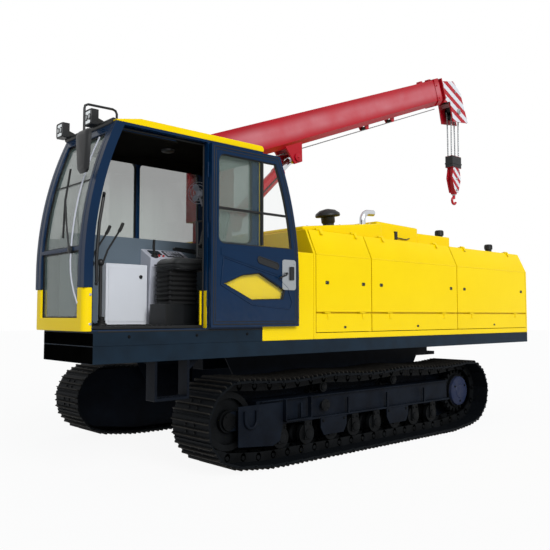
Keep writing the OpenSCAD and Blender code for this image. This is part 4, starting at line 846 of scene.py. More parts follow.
class CARRIER_OT_cab(bpy.types.Operator):
    """Dress the cab: window and door seals, gutter, wiper, grab rails and visor"""
    bl_idname = "carrier.cab"
    bl_label = "Cab shell"

    # Windscreen: radius of its backward sweep, and the height where that starts
    sweep_r = 3.1
    sweep_from = 1.9
    # Lower and upper end of the pale strip by its left pillar, a painted highlight of the glass edge
    guide = (1.62, 3.06)

    def execute(self, context):
        seals = Form()
        r = sizes().seal
        for axis, least in (((0, 1, 0), 0.9), ((0, -1, 0), 0.9), ((1, 0, 0), 0.45), ((-1, 0, 0), 0.97)):
            for loop in rim_loops("cab_glass", axis, least):
                if len(loop) > 3:
                    seals.tube(spread(loop, 0.05), r, 8, closed=True)
        # Door seal: a bulb strip round the doorway, just inside the shut door
        wall = hi("cab_nose_panel").y
        doorway = [(HINGE.x + 0.009, BASE_TOP + 0.02), (NOSE - 0.089, BASE_TOP + 0.02), (NOSE - 0.085, 1.9),
                   (NOSE - 0.10, 2.25), (NOSE - 0.165, 2.6), (NOSE - 0.27, 2.95), (NOSE - 0.34, 3.13),
                   (HINGE.x + 0.009, 3.135)]
        seals.tube(spread([Vector((x, wall - 0.054, z)) for x, z in doorway], 0.06), 0.009, 8, closed=True)
        seals.done("cab_seals", "carrier", ("EPDM rubber",), "black_plastic", sharp=50)

        shell = Form()
        # Rain gutter along the left edge of the roof
        shell.finish = 0
        gutter = [(CAB_LEFT - 0.012, CEILING + 0.012), (CAB_LEFT - 0.001, CEILING + 0.012),
                  (CAB_LEFT - 0.001, CEILING + 0.03), (CAB_LEFT - 0.012, CEILING + 0.03)]
        shell.prism(gutter, (CAB_REAR + 0.02, NOSE - 0.5), CROSS)
        # Raised panel pressed in the roof
        shell.prism(rounded(CAB_REAR + 0.15, CAB_RIGHT + 0.12, NOSE - 0.72, CAB_LEFT - 0.12, 0.09),
                    (ROOF - 0.002, ROOF - 0.0005), PLAN)
        # Yellow foot of the rear door jamb, and the yellow rear corner post
        shell.box((HINGE.x - 0.002, CAB_LEFT - 0.058, BASE_TOP + 0.014),
                  (HINGE.x + 0.003, CAB_LEFT - 0.002, BASE_TOP + 0.36))
        shell.box((HINGE.x - 0.03, CAB_LEFT - 0.08, BASE_TOP + 0.042),
                  (HINGE.x + 0.03, CAB_LEFT - 0.064, BASE_TOP + 0.36))
        shell.box((CAB_REAR - 0.002, CAB_LEFT - 0.08, BASE_TOP + 0.03),
                  (CAB_REAR + 0.05, CAB_LEFT + 0.0005, CEILING - 0.08))
        # Yellow lower panel of the left wall, seen through the open door's lower pane
        shell.box((CAB_REAR, CAB_LEFT - 0.03, BASE_TOP + 0.02), (HINGE.x - 0.04, CAB_LEFT + 0.0006, 2.04))
        # Grab rail inside the front pillar, and a handle on the rear door pillar
        shell.finish = 1
        rail = [(NOSE - 0.14, 1.5, 1.78), (NOSE - 0.165, 1.46, 1.80), (NOSE - 0.16, 1.46, 2.0),
                (NOSE - 0.18, 1.46, 2.3), (NOSE - 0.215, 1.46, 2.52), (NOSE - 0.2, 1.5, 2.55)]
        shell.tube(rail, 0.014, 10)
        rail = [(HINGE.x - 0.06, CAB_LEFT - 0.07, 2.05), (HINGE.x + 0.06, CAB_LEFT - 0.075, 2.07),
                (HINGE.x + 0.065, CAB_LEFT - 0.075, 2.4), (HINGE.x - 0.06, CAB_LEFT - 0.07, 2.42)]
        shell.tube(rail, 0.013, 10)
        # Wiper: motor boss, arm and blade on the windscreen
        boss = Vector((NOSE - 0.006, CAB_LEFT - 0.26, 2.07))
        shell.lathe([(0.035, -0.01), (0.035, 0.012), (0.02, 0.022)], facing(boss, (1, 0, 0)), 20)
        arm = [boss + Vector((0.016, 0, 0)), Vector((NOSE, 1.22, 2.3)),
               Vector((NOSE - 0.03, 1.13, 2.5))]
        shell.tube(arm, 0.008, 8)
        shell.tube([(NOSE, 1.16, 2.18), (NOSE - 0.028, 1.125, 2.5), (NOSE - 0.085, 1.1, 2.8)], 0.010, 6)
        # Pale grey strip that follows the windscreen's curved left edge, by the left pillar: a painted
        # highlight of the glass edge
        shell.finish = 2
        rise = []
        low, high = self.guide
        for i in range(17):
            z = low + i * (high - low) / 16
            bow = max(0.0, z - self.sweep_from)
            foot = max(0.0, (low + 0.36 - z) / 0.36)
            head = max(0.0, (z - high + 0.66) / 0.66)
            rise.append((NOSE + 0.002 - (self.sweep_r - math.sqrt(self.sweep_r ** 2 - bow ** 2)),
                         CAB_LEFT - 0.25 + 0.14 * foot ** 2 + 0.05 * head ** 2, z))
        shell.tube(rise, 0.007, 8)
        # Dark visor strip along the roof's front edge
        shell.finish = 1
        edge = hi("cab_roof").x
        shell.tube([(edge - 0.005, y, CEILING + 0.012)
                    for y in (CAB_RIGHT, CAB_RIGHT + 0.3, CAB_LEFT - 0.3, CAB_LEFT - 0.06)],
                   0.026, 12)
        shell.finish = 3
        for y, side in ((CAB_LEFT - 0.001, 1), (CAB_RIGHT + 0.001, -1)):
            for z in (BASE_TOP + 0.06, BASE_TOP + 0.3):
                shell.bolt((NOSE - 0.06, y, z), (0, side, 0), 0.009)
        shell.done("cab_trim", "carrier", ("Yellow enamel", "Black ABS", "Grey ABS", "Zinc plate"),
                   "cab_navy", bevel=0.0015)
        return {"FINISHED"}


class CARRIER_OT_cab_door(bpy.types.Operator):
    """Dress the cab door: seals, pressed panel, grab slot, latch and sliding pane"""
    bl_idname = "carrier.cab_door"
    bl_label = "Cab door"

    def span(self, loop):
        """Length and height of a loop."""
        return [max(p[k] for p in loop) - min(p[k] for p in loop) for k in (0, 2)]

    def execute(self, context):
        low = lo("cab_door")
        glass_low, glass_high = lo("cab_door_glass"), hi("cab_door_glass")
        faces = [v.co.y for v in NODES["cab_door"].data.vertices if v.co.x < HINGE.x - 0.2]
        inner, outer = max(faces), min(faces)
        door = Form()
        r = sizes().seal
        door.finish = 0
        for axis in ((0, 1, 0), (0, -1, 0)):
            for loop in rim_loops("cab_door_glass", axis, 0.9):
                door.tube(spread(loop, 0.05), r, 8, closed=True)
        # Bulb seal on the door's inner face, which shows while the door stands open
        rim = max(rim_loops("cab_door", (0, 1, 0), 0.9), key=lambda loop: sum(self.span(loop)))
        centre = Vector((max(p.x for p in rim) + min(p.x for p in rim), 0,
                         max(p.z for p in rim) + min(p.z for p in rim))) / 2
        for inset, radius in ((0.026, 0.007), (0.052, 0.005)):
            path = []
            for p in spread(rim, 0.05):
                to = centre - p
                path.append(Vector((p.x + math.copysign(min(inset, abs(to.x)), to.x), inner - 0.003,
                                    p.z + math.copysign(min(inset, abs(to.z)), to.z))))
            door.tube(path, radius, 8, closed=True)
        # Divider and rail of the sliding upper pane
        bar_x = glass_low.x + 0.42 * (glass_high.x - glass_low.x)
        rail_z = 2.54
        pane_y = (glass_low.y + glass_high.y) / 2
        door.box((bar_x - 0.013, pane_y - 0.012, 2.215),
                 (bar_x + 0.013, pane_y + 0.014, glass_high.z - 0.004))
        door.box((glass_low.x + 0.06, pane_y - 0.010, rail_z - 0.011),
                 (glass_high.x - 0.004, pane_y + 0.012, rail_z + 0.011))
        door.done("door_seals", "cab_door_leaf", ("EPDM rubber",), "black_plastic", sharp=50)

        fittings = Form()
        # Pressed inner panel below the window
        fittings.finish = 0
        x0, x1 = low.x + 0.10, HINGE.x - 0.10
        fittings.prism([(x1 - 0.02, 2.16), (x1 - 0.02, 2.09), (x0 + 0.2, 1.93), (x0 + 0.16, 2.0),
                        (x0 + 0.14, 2.09)],
                       (inner - 0.003, inner + 0.005))
        # Pressed bead that runs below the panel and round the lower pane
        bead = [(-0.149, 2.07), (-0.829, 1.915), (-0.979, 1.8), (-1.044, 1.65), (-1.009, 1.585),
                (-0.503, 1.625), (-0.119, 1.81)]
        bead = [Vector((HINGE.x + x, inner + 0.001, z)) for x, z in bead]
        fittings.tube(spread(bead, 0.12), 0.007, 8, closed=True)
        # Grab slot with its rim
        fittings.finish = 1
        slot = [(x, z - 0.22 * (HINGE.x - 0.53 - x))
                for x, z in rounded(HINGE.x - 0.85, 2.05, HINGE.x - 0.57, 2.115, 0.03)]
        fittings.prism(slot, (inner + 0.001, inner + 0.009))
        fittings.tube([(x, inner + 0.009, z) for x, z in slot], 0.005, 8, closed=True)
        fittings.finish = 2
        # Latch plate, pawl and inner lever
        plate = rounded(low.x + 0.05, 1.78, low.x + 0.24, 2.09, 0.03)
        fittings.prism(plate, (inner - 0.002, inner + 0.007))
        fittings.finish = 1
        fittings.prism(rounded(low.x + 0.085, 1.88, low.x + 0.14, 2.02, 0.012), (inner + 0.006, inner + 0.02))
        fittings.tube([(low.x + 0.19, inner + 0.006, 1.95), (low.x + 0.19, inner + 0.03, 1.95),
                       (low.x + 0.21, inner + 0.034, 1.93), (low.x + 0.3, inner + 0.034, 1.9)], 0.009, 10)
        fittings.finish = 2
        for z in (1.85, 2.05):
            for x in (low.x + 0.075, low.x + 0.23):
                fittings.bolt((x, inner + 0.006, z), (0, 1, 0), 0.007)
        # Outer handle, seen once the door is shut
        fittings.finish = 1
        fittings.prism(rounded(low.x + 0.1, 1.9, low.x + 0.28, 1.98, 0.02), (outer - 0.006, outer + 0.002))
        fittings.done("door_fittings", "cab_door_leaf", ("Navy enamel", "Black ABS", "Zinc plate"),
                      "cab_navy", bevel=0.0015)
        return {"FINISHED"}


class CARRIER_OT_cab_inside(bpy.types.Operator):
    """Fit out the cab: seat bellows, lining, console, cabinet, pedals, fan and lamp"""
    bl_idname = "carrier.cab_inside"
    bl_label = "Cab inside"

    wall = 0.06

    def execute(self, context):
        inside = Form()
        # Inner faces of the cab's walls
        rear, right, left = CAB_REAR + self.wall, CAB_RIGHT + self.wall, CAB_LEFT - self.wall
        seat_low, seat_high = lo("seat_base"), hi("seat_base")
        # Folded rubber bellows round the seat's suspension
        inside.finish = 0
        post = [v.co for v in NODES["seat_base"].data.vertices if v.co.z > seat_high.z - 0.01]
        x0, x1 = min(p.x for p in post), max(p.x for p in post)
        y0, y1 = min(p.y for p in post), max(p.y for p in post)
        folds = []
        for i in range(15):
            out = 0.004 if i % 2 else 0.022
            z = seat_low.z + 0.202 + i * (seat_high.z - seat_low.z - 0.206) / 14
            folds.append([(x, y, z) for x, y in rounded(x0 - out, y0 - out, x1 + out, y1 + out, 0.05)])
        inside.loft(folds)
        # Ribbed floor mat
        for i in range(14):
            x = seat_high.x + 0.08 + i * 0.055
            inside.box((x - 0.012, CAB_RIGHT + 0.24, CAB_FLOOR - 0.001),
                       (x + 0.012, CAB_LEFT - 0.09, CAB_FLOOR + 0.006))
        # Pedals on their stalks
        for y in (1.0, 1.16):
            base = Vector((NOSE - 0.2, y, CAB_FLOOR))
            inside.prism([(base.x, CAB_FLOOR), (base.x + 0.012, CAB_FLOOR), (base.x - 0.04, CAB_FLOOR + 0.2),
                          (base.x - 0.055, CAB_FLOOR + 0.19)], (y - 0.045, y + 0.045))
        # Gaiters and knobs of the two travel levers
        for y in (lo("control_levers").y + 0.015, hi("control_levers").y - 0.015):
            x = (lo("control_levers").x + hi("control_levers").x) / 2
            inside.lathe([(0.05, 0.0), (0.046, 0.02), (0.034, 0.025), (0.036, 0.045), (0.024, 0.05),
                          (0.026, 0.07), (0.016, 0.08)], Matrix.Translation((x, y, CAB_FLOOR)), 20)
            top = hi("control_levers").z
            inside.tube([(x, y, top - 0.05), (x - 0.05, y, top + 0.08), (x - 0.15, y, top + 0.24),
                         (x - 0.2, y, top + 0.33)],
                        0.009, 10)
            inside.tube([(x - 0.16, y, top + 0.255), (x - 0.18, y, top + 0.29), (x - 0.2, y, top + 0.335)],
                        0.015, 12)
        # Headlining over the whole ceiling, with dark panels below it at the front and along the right, all
        # in near-black felt: painted shade of the cab's unlit ceiling; and the dome lamp's dark bowl
        inside.finish = 7
        inside.box((rear, right, CEILING - 0.03),
                   (NOSE - 0.36, left, CEILING - 0.002))
        inside.box((NOSE - 0.94, CAB_RIGHT + 0.062, CEILING - 0.072),
                   (NOSE - 0.3, CAB_LEFT - 0.062, CEILING - 0.057))
        inside.prism([(NOSE - 0.37, CEILING - 0.03), (NOSE - 0.37, CEILING - 0.002),
                      (NOSE - 0.3, CEILING - 0.002), (NOSE - 0.29, CEILING - 0.1)], (right,
                      left))
        inside.prism([(rear, CEILING - 0.12), (rear, CEILING - 0.03),
                      (NOSE - 0.4, CEILING - 0.03), (NOSE - 0.36, CEILING - 0.12)], (right,
                      CAB_RIGHT + 0.075))
        inside.finish = 1
        inside.lathe([(0.07, 0.0), (0.062, -0.02), (0.03, -0.03)],
                     Matrix.Translation((2.75, 1.08, CEILING - 0.028)), 24)
        # Lining panels of the right wall and rear wall
        inside.finish = 2
        inside.prism(rounded(CAB_REAR + 0.1, CAB_FLOOR + 0.02, NOSE - 0.2, 2.3, 0.05),
                     (right - 0.001, right + 0.008))
        inside.prism(rounded(CAB_RIGHT + 0.1, CAB_FLOOR + 0.02, CAB_LEFT - 0.1, 2.2, 0.05),
                     (CAB_REAR + 0.059, CAB_REAR + 0.07), CROSS)
        # Cabinet: a plain flush door with a small turning knob
        box_low, box_high = lo("cabinet"), hi("cabinet")
        inside.finish = 3
        inside.prism(rounded(box_low.x + 0.025, box_low.z + 0.03, box_high.x - 0.025, box_high.z - 0.03,
                             0.02),
                     (box_high.y - 0.001, box_high.y + 0.006))
        inside.finish = 1
        inside.lathe([(0.016, 0), (0.018, 0.012), (0.013, 0.02)],
                     facing((box_low.x + 0.08, box_high.y + 0.006, box_high.z - 0.12), (0, 1, 0)), 20)
        # Console: keypad, small display, red buttons and a joystick on the desk that slopes to the driver
        desk_low, desk_high = lo("console"), hi("console")
        desk = plane((1, 0, 0), (0, -0.887, 0.462), (0, 0.462, 0.887),
                     (desk_low.x, desk_high.y - 0.008, desk_high.z - 0.1))
        inside.prism(rounded(0.06, 0.03, 0.27, 0.18, 0.015), (-0.002, 0.006), desk)
        inside.finish = 6
        for row in range(3):
            for k in range(5):
                x, y = 0.085 + k * 0.036, 0.05 + row * 0.04
                inside.prism(rounded(x, y, x + 0.024, y + 0.026, 0.004, 3), (0.004, 0.011), desk)
        inside.finish = 4
        inside.prism(rounded(0.31, 0.07, 0.44, 0.17, 0.01), (-0.002, 0.007), desk)
        inside.finish = 5
        for k in range(3):
            inside.lathe([(0.012, 0), (0.012, 0.012), (0.009, 0.017)],
                         desk @ Matrix.Translation((0.32 + k * 0.05, 0.035, 0)), 14)
        inside.finish = 0
        stick = Vector((desk_high.x - 0.06, desk_high.y - 0.03, desk_high.z - 0.09))
        inside.lathe([(0.04, -0.01), (0.036, 0.012), (0.022, 0.018), (0.024, 0.034), (0.012, 0.04)],
                     Matrix.Translation(stick), 20)
        inside.tube([stick + Vector((0, 0, 0.03)), stick + Vector((0.01, 0, 0.1)),
                     stick + Vector((0.005, 0, 0.17))], 0.013, 12)
        # Fan on the right rear pillar
        inside.finish = 6
        hub = Vector((CAB_REAR + 0.24, CAB_RIGHT + 0.19, 2.83))
        look = Vector((0.75, 0.6, -0.1)).normalized()
        cage = facing(hub, look)
        for radius in (0.05, 0.085, 0.115):
            ring = [cage @ Vector((radius * math.cos(a), radius * math.sin(a), 0.03 - radius * 0.2))
                    for a in (2 * math.pi * i / 28 for i in range(28))]
            inside.tube(ring, 0.004, 6, closed=True)
        for i in range(3):
            a = 2 * math.pi * i / 3
            blade = cage @ Matrix.Rotation(a, 4, "Z") @ Matrix.Rotation(0.45, 4, "X")
            inside.prism([(0.015, -0.02), (0.06, -0.04), (0.1, -0.03), (0.105, 0.01), (0.06, 0.03),
                          (0.015, 0.015)],
                         (-0.003, 0.003), blade)
        inside.lathe([(0.035, -0.07), (0.04, -0.03), (0.03, 0.01), (0.014, 0.016)], cage, 20)
        inside.tube([hub - look * 0.06, hub - look * 0.1 + Vector((0, -0.02, -0.05)),
                     (CAB_REAR + 0.1, CAB_RIGHT + 0.07, 2.72)], 0.012, 8)
        # Extinguisher strapped to the rear wall
        inside.finish = 5
        can = Matrix.Translation((CAB_REAR + 0.14, CAB_RIGHT + 0.22, 2.25))
        inside.lathe([(0.045, 0), (0.055, 0.012), (0.055, 0.3), (0.045, 0.34), (0.02, 0.36)], can, 28)
        inside.finish = 1
        inside.lathe([(0.018, 0.358), (0.018, 0.4), (0.026, 0.402), (0.026, 0.42)], can, 16)
        inside.lathe([(0.058, 0.12), (0.058, 0.14)], can, 28)
        inside.box((CAB_REAR + 0.058, CAB_RIGHT + 0.19, 2.24), (CAB_REAR + 0.1, CAB_RIGHT + 0.25, 2.54))
        inside.done("cab_fittings", "carrier",
                    ("EPDM rubber", "Black ABS", "Blue-grey lining", "White enamel", "Display glass",
                     "Red ABS", "Grey ABS", "Painted-shade felt"), "black_plastic", bevel=0.0015)
        return {"FINISHED"}


class CARRIER_OT_seat(bpy.types.Operator):
    """Upholster the driver's seat: cushion and back in woven cloth on their shell"""
    bl_idname = "carrier.seat"
    bl_label = "Seat"

    # Frames that the cloth takes to settle
    settle = 20
    # How far the stuffing may bulge
    crown = 0.012

    def pad(self, name, size, place):
        """Stuffed pad: a rounded block blown up as cloth."""
        form = Form()
        w, d, h = size
        rings = []
        for t, shrink in ((0.0, 0.03), (0.25, 0.004), (0.5, 0.0), (0.75, 0.004), (1.0, 0.03)):
            rings.append([place @ Vector((x, y, h * t)) for x, y in
                          rounded(-w / 2 + shrink, -d / 2 + shrink, w / 2 - shrink, d / 2 - shrink, 0.06)])
        form.loft(rings)
        piece = form.done(name, "carrier", ("Woven polyester",), "seat_fabric", sharp=180)
        voxel = piece.modifiers.new("Even skin", "REMESH")
        voxel.mode = "VOXEL"
        voxel.voxel_size = 0.012
        self.keep(piece)
        before = [v.co.copy() for v in piece.data.vertices]
        cloth = piece.modifiers.new("Stuffing", "CLOTH")
        cloth.settings.use_pressure = True
        cloth.settings.uniform_pressure_force = 4.0
        cloth.settings.effector_weights.gravity = 0.0
        cloth.settings.quality = 4
        scene = bpy.context.scene
        for step in range(1, self.settle + 1):
            scene.frame_set(step)
        self.keep(piece)
        for v, rest in zip(piece.data.vertices, before):
            move = v.co - rest
            if move.length > self.crown:
                v.co = rest + move.normalized() * self.crown
        scene.frame_set(1)
        soft = piece.modifiers.new("Soft skin", "SUBSURF")
        soft.levels = soft.render_levels = 1
        return piece

    def keep(self, piece):
        """Replaces a piece's mesh with what its modifiers give."""
        graph = bpy.context.evaluated_depsgraph_get()
        mesh = bpy.data.meshes.new_from_object(piece.evaluated_get(graph))
        piece.modifiers.clear()
        piece.data = mesh
        for face in mesh.polygons:
            face.use_smooth = True

    def execute(self, context):
        low, high = lo("seat"), hi("seat")
        middle = (low.y + high.y) / 2
        top = hi("seat_base").z
        cushion_x = high.x - 0.25
        cushion = self.pad("seat_cushion", (0.49, 0.4, 0.1),
                           Matrix.Translation((cushion_x, middle, top + 0.008)))
        # The back leans rearward from behind the cushion
        lean = Matrix.Rotation(math.radians(-104), 4, "Y")
        lean = Matrix.Translation((low.x + 0.19, middle, top + 0.06)) @ lean
        self.pad("seat_back", (0.6, 0.38, 0.08), lean @ Matrix.Translation((0.3, 0, -0.05)))
        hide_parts("seat")
        shell = Form()
        # Pan and back shell that carry the pads, and the armrests
        shell.prism(rounded(cushion_x - 0.23, middle - 0.19, cushion_x + 0.23, middle + 0.19, 0.05),
                    (top + 0.0005, top + 0.012), PLAN)
        shell.prism(rounded(0.0, -0.17, 0.59, 0.17, 0.05), (0.028, 0.042), lean)
        for side in (-1, 1):
            y = middle + side * 0.215
            shell.prism([(low.x + 0.14, top + 0.2), (low.x + 0.44, top + 0.22), (low.x + 0.46, top + 0.24),
                         (low.x + 0.44, top + 0.256), (low.x + 0.14, top + 0.244)], (y - 0.02, y + 0.02))
        shell.done("seat_shell", "carrier", ("Black ABS",), "black_plastic", bevel=0.004)
        piping = Form()
        ring = [Vector((cushion_x + x, middle + y, top + 0.058))
                for x, y in rounded(-0.25, -0.205, 0.25, 0.205, 0.06)]
        piping.tube(ring, 0.005, 8, closed=True)
        piping.done("seat_piping", "carrier", ("EPDM rubber",), "seat_fabric", sharp=60)
        return {"FINISHED"}


class CARRIER_OT_lamps(bpy.types.Operator):
    """Fit lamp lenses and bezels, mirror glass and its rim"""
    bl_idname = "carrier.lamps"
    bl_label = "Lamps and mirror"

    # Width and height of a lamp's face
    lamp_w = 0.13
    lamp_h = 0.14

    def execute(self, context):
        lamps = Form()
        low, high = lo("work_lamps"), hi("work_lamps")
        z0, z1 = high.z - self.lamp_h, high.z
        for y0, y1 in ((low.y, low.y + self.lamp_w), (high.y - self.lamp_w, high.y)):
            # Bezel round a clear lens, with two reflector bowls behind it
            lamps.finish = 0
            rim = [Vector((high.x - 0.001, y, z))
                   for y, z in rounded(y0 + 0.008, z0 + 0.008, y1 - 0.008, z1 - 0.008, 0.014)]
            lamps.tube(rim, 0.008, 8, closed=True)
            lamps.finish = 2
            lamps.prism(rounded(y0 + 0.006, z0 + 0.006, y1 - 0.006, z1 - 0.006, 0.012),
                        (high.x - 0.002, high.x + 0.001), CROSS)
            for y in (y0 + 0.036, y1 - 0.036):
                bowl = facing((high.x + 0.001, y, (z0 + z1) / 2), (1, 0, 0))
                lamps.finish = 0
                lamps.lathe([(0.028, -0.001), (0.028, 0.004), (0.024, 0.005)], bowl, 24)
                lamps.finish = 1
                lamps.lathe([(0.024, 0.003), (0.018, 0.006), (0.008, 0.0075)], bowl, 24)
        lamps.done("lamp_glasses", "carrier", ("Black ABS", "Lamp lens", "Mirror silver"), "black_plastic",
                   sharp=30)
        mirror = Form()
        low, high = lo("side_mirror"), hi("side_mirror")
        plate = [v.co for v in NODES["side_mirror"].data.vertices if v.co.z < low.z + 0.1]
        x0, x1 = min(p.x for p in plate), max(p.x for p in plate)
        y0, y1 = min(p.y for p in plate), max(p.y for p in plate)
        # Shell: a dished back that narrows downwards, and the glass set in its rear face
        mirror.finish = 1
        shell = [(y0 + 0.035, low.z + 0.02), (y0 + 0.06, low.z), (y1 - 0.06, low.z),
                 (y1 - 0.035, low.z + 0.02), (y1, low.z + 0.3), (y1 - 0.01, low.z + 0.345),
                 (y1 - 0.04, low.z + 0.36), (y0 + 0.04, low.z + 0.36), (y0 + 0.01, low.z + 0.345),
                 (y0, low.z + 0.3)]
        mid_y, mid_z = (y0 + y1) / 2, low.z + 0.19
        mirror.loft([[Vector((x, mid_y + (y - mid_y) * share, mid_z + (z - mid_z) * share)) for y, z in shell]
                     for x, share in ((x0, 1.0), (x0 + 0.018, 1.0), (x1 - 0.006, 0.9), (x1, 0.74))])
        mirror.finish = 0
        mirror.prism([(mid_y + (y - mid_y) * 0.88, mid_z + (z - mid_z) * 0.92) for y, z in shell],
                     (x0 - 0.001, x0 + 0.001), CROSS)
        # Tube bracket bent over the roof's front corner
        mirror.finish = 1
        y = mid_y
        arch = [(x0 + 0.012, y, low.z + 0.34), (x0 + 0.012, y, ROOF + 0.02), (x0 + 0.006, y, ROOF + 0.045),
                (x0 - 0.02, y, ROOF + 0.06), (low.x + 0.05, y, ROOF + 0.065),
                (low.x + 0.022, y, ROOF + 0.055), (low.x + 0.01, y, ROOF + 0.03),
                (low.x + 0.01, y, CEILING + 0.02)]
        mirror.tube(arch, 0.0105, 12)
        piece = mirror.done("door_mirror", "carrier", ("Mirror silver", "Black ABS"), "black_plastic",
                            bevel=0.003, sharp=40)
        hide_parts("side_mirror")
        return {"FINISHED"}


class CARRIER_OT_hood(bpy.types.Operator):
    """Dress the hood: latches, service covers, filler caps, handle and louvres"""
    bl_idname = "carrier.hood"
    bl_label = "Hood"

    # Heights of the doors' latches and of the crease in the hood's side
    latch_z = 1.88
    crease_z = 2.185
    # Thickness of the covers' pressed skins
    skin = 0.01

    # Raised covers: ends as distances behind the hood's front, heights there, half width
    # The first is the pressed scoop that stands on the wide front cover
    covers = (((0.047, 1.405), (0.035, 0.19), 1.35), ((1.76, 2.64), (0.29, 0.27), 1.0),
              ((2.658, 3.44), (0.2, 0.205), 1.0))

    # Exhaust where it leaves the front cover: distance behind the hood's front, radius, height, slope
    exhaust_seat = (1.6, 0.046, 0.106, 0.062)

    # Pre-cleaner: distance behind the hood's front, lift, and outline as shares of its radius and height
    cleaner_back = 1.05
    cleaner_lift = 0.07
    cleaner = ((0.45, 0.0), (0.45, 0.3), (0.54, 0.36), (0.56, 0.6), (0.94, 0.62), (1.0, 0.68), (0.96, 0.78),
               (0.62, 0.93), (0.1, 1.0))

    def latch(self, form, x, y, z, size):
        """Paddle latch: a round-cornered black cup with its paddle and key."""
        form.finish = 0
        form.prism(rounded(x - size, z - size * 0.72, x + size, z + size * 0.72, size * 0.36),
                   (y - 0.002, y + 0.005))
        form.prism(rounded(x - size * 0.7, z - size * 0.48, x + size * 0.6, z + size * 0.48, size * 0.24),
                   (y + 0.004, y + 0.010))
        form.finish = 1
        form.lathe([(size * 0.18, 0.004), (size * 0.18, 0.010), (size * 0.12, 0.011)],
                   facing((x + size * 0.8, y - 0.002, z), (0, 1, 0)), 12)

    def execute(self, context):
        for i in (1, 2, 3):
            low, high = lo(f"hood_door_{i}"), hi(f"hood_door_{i}")
            door = Form()
            self.latch(door, low.x + 0.14, LEFT, self.latch_z, 0.026)
            self.latch(door, high.x - 0.17, LEFT, self.latch_z, 0.026)
            # Folded hem along the lower edge, and the pressed bead along the crease
            door.finish = 2
            door.box((low.x + 0.012, LEFT - 0.004, low.z + 0.006),
                     (high.x - 0.012, LEFT + 0.0015, low.z + 0.018))
            door.tube([(x, LEFT - 0.003, self.crease_z) for x in (low.x + 0.004, high.x - 0.004)], 0.008, 10)
            door.done(f"hood_door_fittings_{i}", f"left_door_{i}",
                      ("Black ABS", "Zinc plate", "Yellow enamel"),
                      "yellow_paint", bevel=0.001)
            low, high = lo(f"hood_flap_{i}"), hi(f"hood_flap_{i}")
            flap = Form()
            self.latch(flap, (low.x + high.x) / 2, LEFT, low.z + 0.05, 0.018)
            flap.done(f"hood_flap_fittings_{i}", f"left_flap_{i}", ("Black ABS", "Zinc plate"),
                      "yellow_paint", bevel=0.001)
        top = hi("hood_front_wall").z
        front = hi("hood_front_wall").x
        rear = lo("hood_rear_wall").x
        skins = Form()
        # Service covers: pressed skins with round edges
        for (near, far), (h0, h1), half in self.covers:
            x0, x1 = front - near + self.skin, front - far - self.skin
            skins.prism([(x0, top + 0.001), (x0, top + h0 + self.skin), (x1, top + h1 + self.skin),
                         (x1, top + 0.001)], (-half - self.skin, half + self.skin))
        skins.done("service_covers", "carrier", ("Yellow enamel",), "yellow_paint", bevel=0.03, segments=5)
        hood = Form()
        # Hold-down bolts of the covers, on their own slopes
        hood.finish = 1
        for (near, far), (h0, h1), half in self.covers:
            rise = (h1 - h0) / (far - near)
            for t in (0.1, 0.5, 0.9):
                for y in (-half + 0.07, half - 0.07):
                    hood.bolt((front - near - t * (far - near), y, top + h0 + t * (h1 - h0) + 0.009),
                              (rise, 0, 1), 0.012)
        # Filler caps: radiator, on the rear cover, and fuel, near the hood's end
        hood.finish = 2
        for back, y, base, neck in ((3.34, 0.9, top + 0.213, 0.02), (4.64, 0.95, top, 0.11)):
            place = Matrix.Translation((front - back, y, base))
            hood.lathe([(0.058, -0.002), (0.05, 0.004), (0.05, neck), (0.06, neck + 0.006),
                        (0.06, neck + 0.075), (0.052, neck + 0.085), (0.03, neck + 0.088)], place, 28)
            for k in range(8):
                hood.box((-0.007, 0.056, neck + 0.012), (0.007, 0.065, neck + 0.072),
                         place @ Matrix.Rotation(2 * math.pi * k / 8, 4, "Z"))
        # Handle with its strap on the middle cover's side
        side = self.covers[1][2] + 0.012
        hood.box((-0.96, side - 0.004, top + 0.08), (-0.91, side + 0.022, top + 0.19))
        hood.tube([(-0.93, side + 0.012, top + 0.11), (-1.03, side + 0.02, top + 0.10),
                   (-1.16, side + 0.02, top + 0.095), (-1.24, side + 0.008, top + 0.12)], 0.008, 10)
        # Collars where the pre-cleaner comes out of the scoop and the exhaust out of the front cover
        (near, far), (h0, h1) = self.covers[0][:2]
        rise = (h1 - h0) / (far - near)
        hood.finish = 1
        seat = h0 + rise * (self.cleaner_back - near) + self.skin
        collars = (("air_cleaner", self.cleaner_back, 0.077, seat, rise), ("exhaust", *self.exhaust_seat))
        for node, back, radius, seat, slope in collars:
            foot = Vector((front - back, (lo(node).y + hi(node).y) / 2, top + seat))
            hood.lathe([(radius + 0.03, -0.002), (radius + 0.03, 0.008), (radius + 0.002, 0.012)],
                       facing(foot, (slope, 0, 1)), 32)
        # Rubber strap latches over the hood's rear top edge
        hood.finish = 2
        for y in (1.1, -1.1):
            hood.prism([(rear + 0.06, top + 0.002), (rear + 0.06, top + 0.012), (rear - 0.002, top + 0.004),
                        (rear - 0.012, top - 0.02), (rear - 0.012, top - 0.12), (rear - 0.001, top - 0.12),
                        (rear - 0.001, top - 0.02), (rear + 0.01, top + 0.002)],
                       (y - 0.02, y + 0.02))
        # Louvred grille on the rear wall
        for i in range(9):
            z = 1.55 + i * 0.07
            hood.prism([(rear + 0.001, z), (rear - 0.01, z - 0.012), (rear - 0.01, z + 0.01),
                        (rear + 0.001, z + 0.03)], (-0.7, 0.7))
        hood.done("hood_fittings", "carrier", ("Yellow enamel", "Zinc plate", "Black ABS"), "yellow_paint",
                  bevel=0.0015)
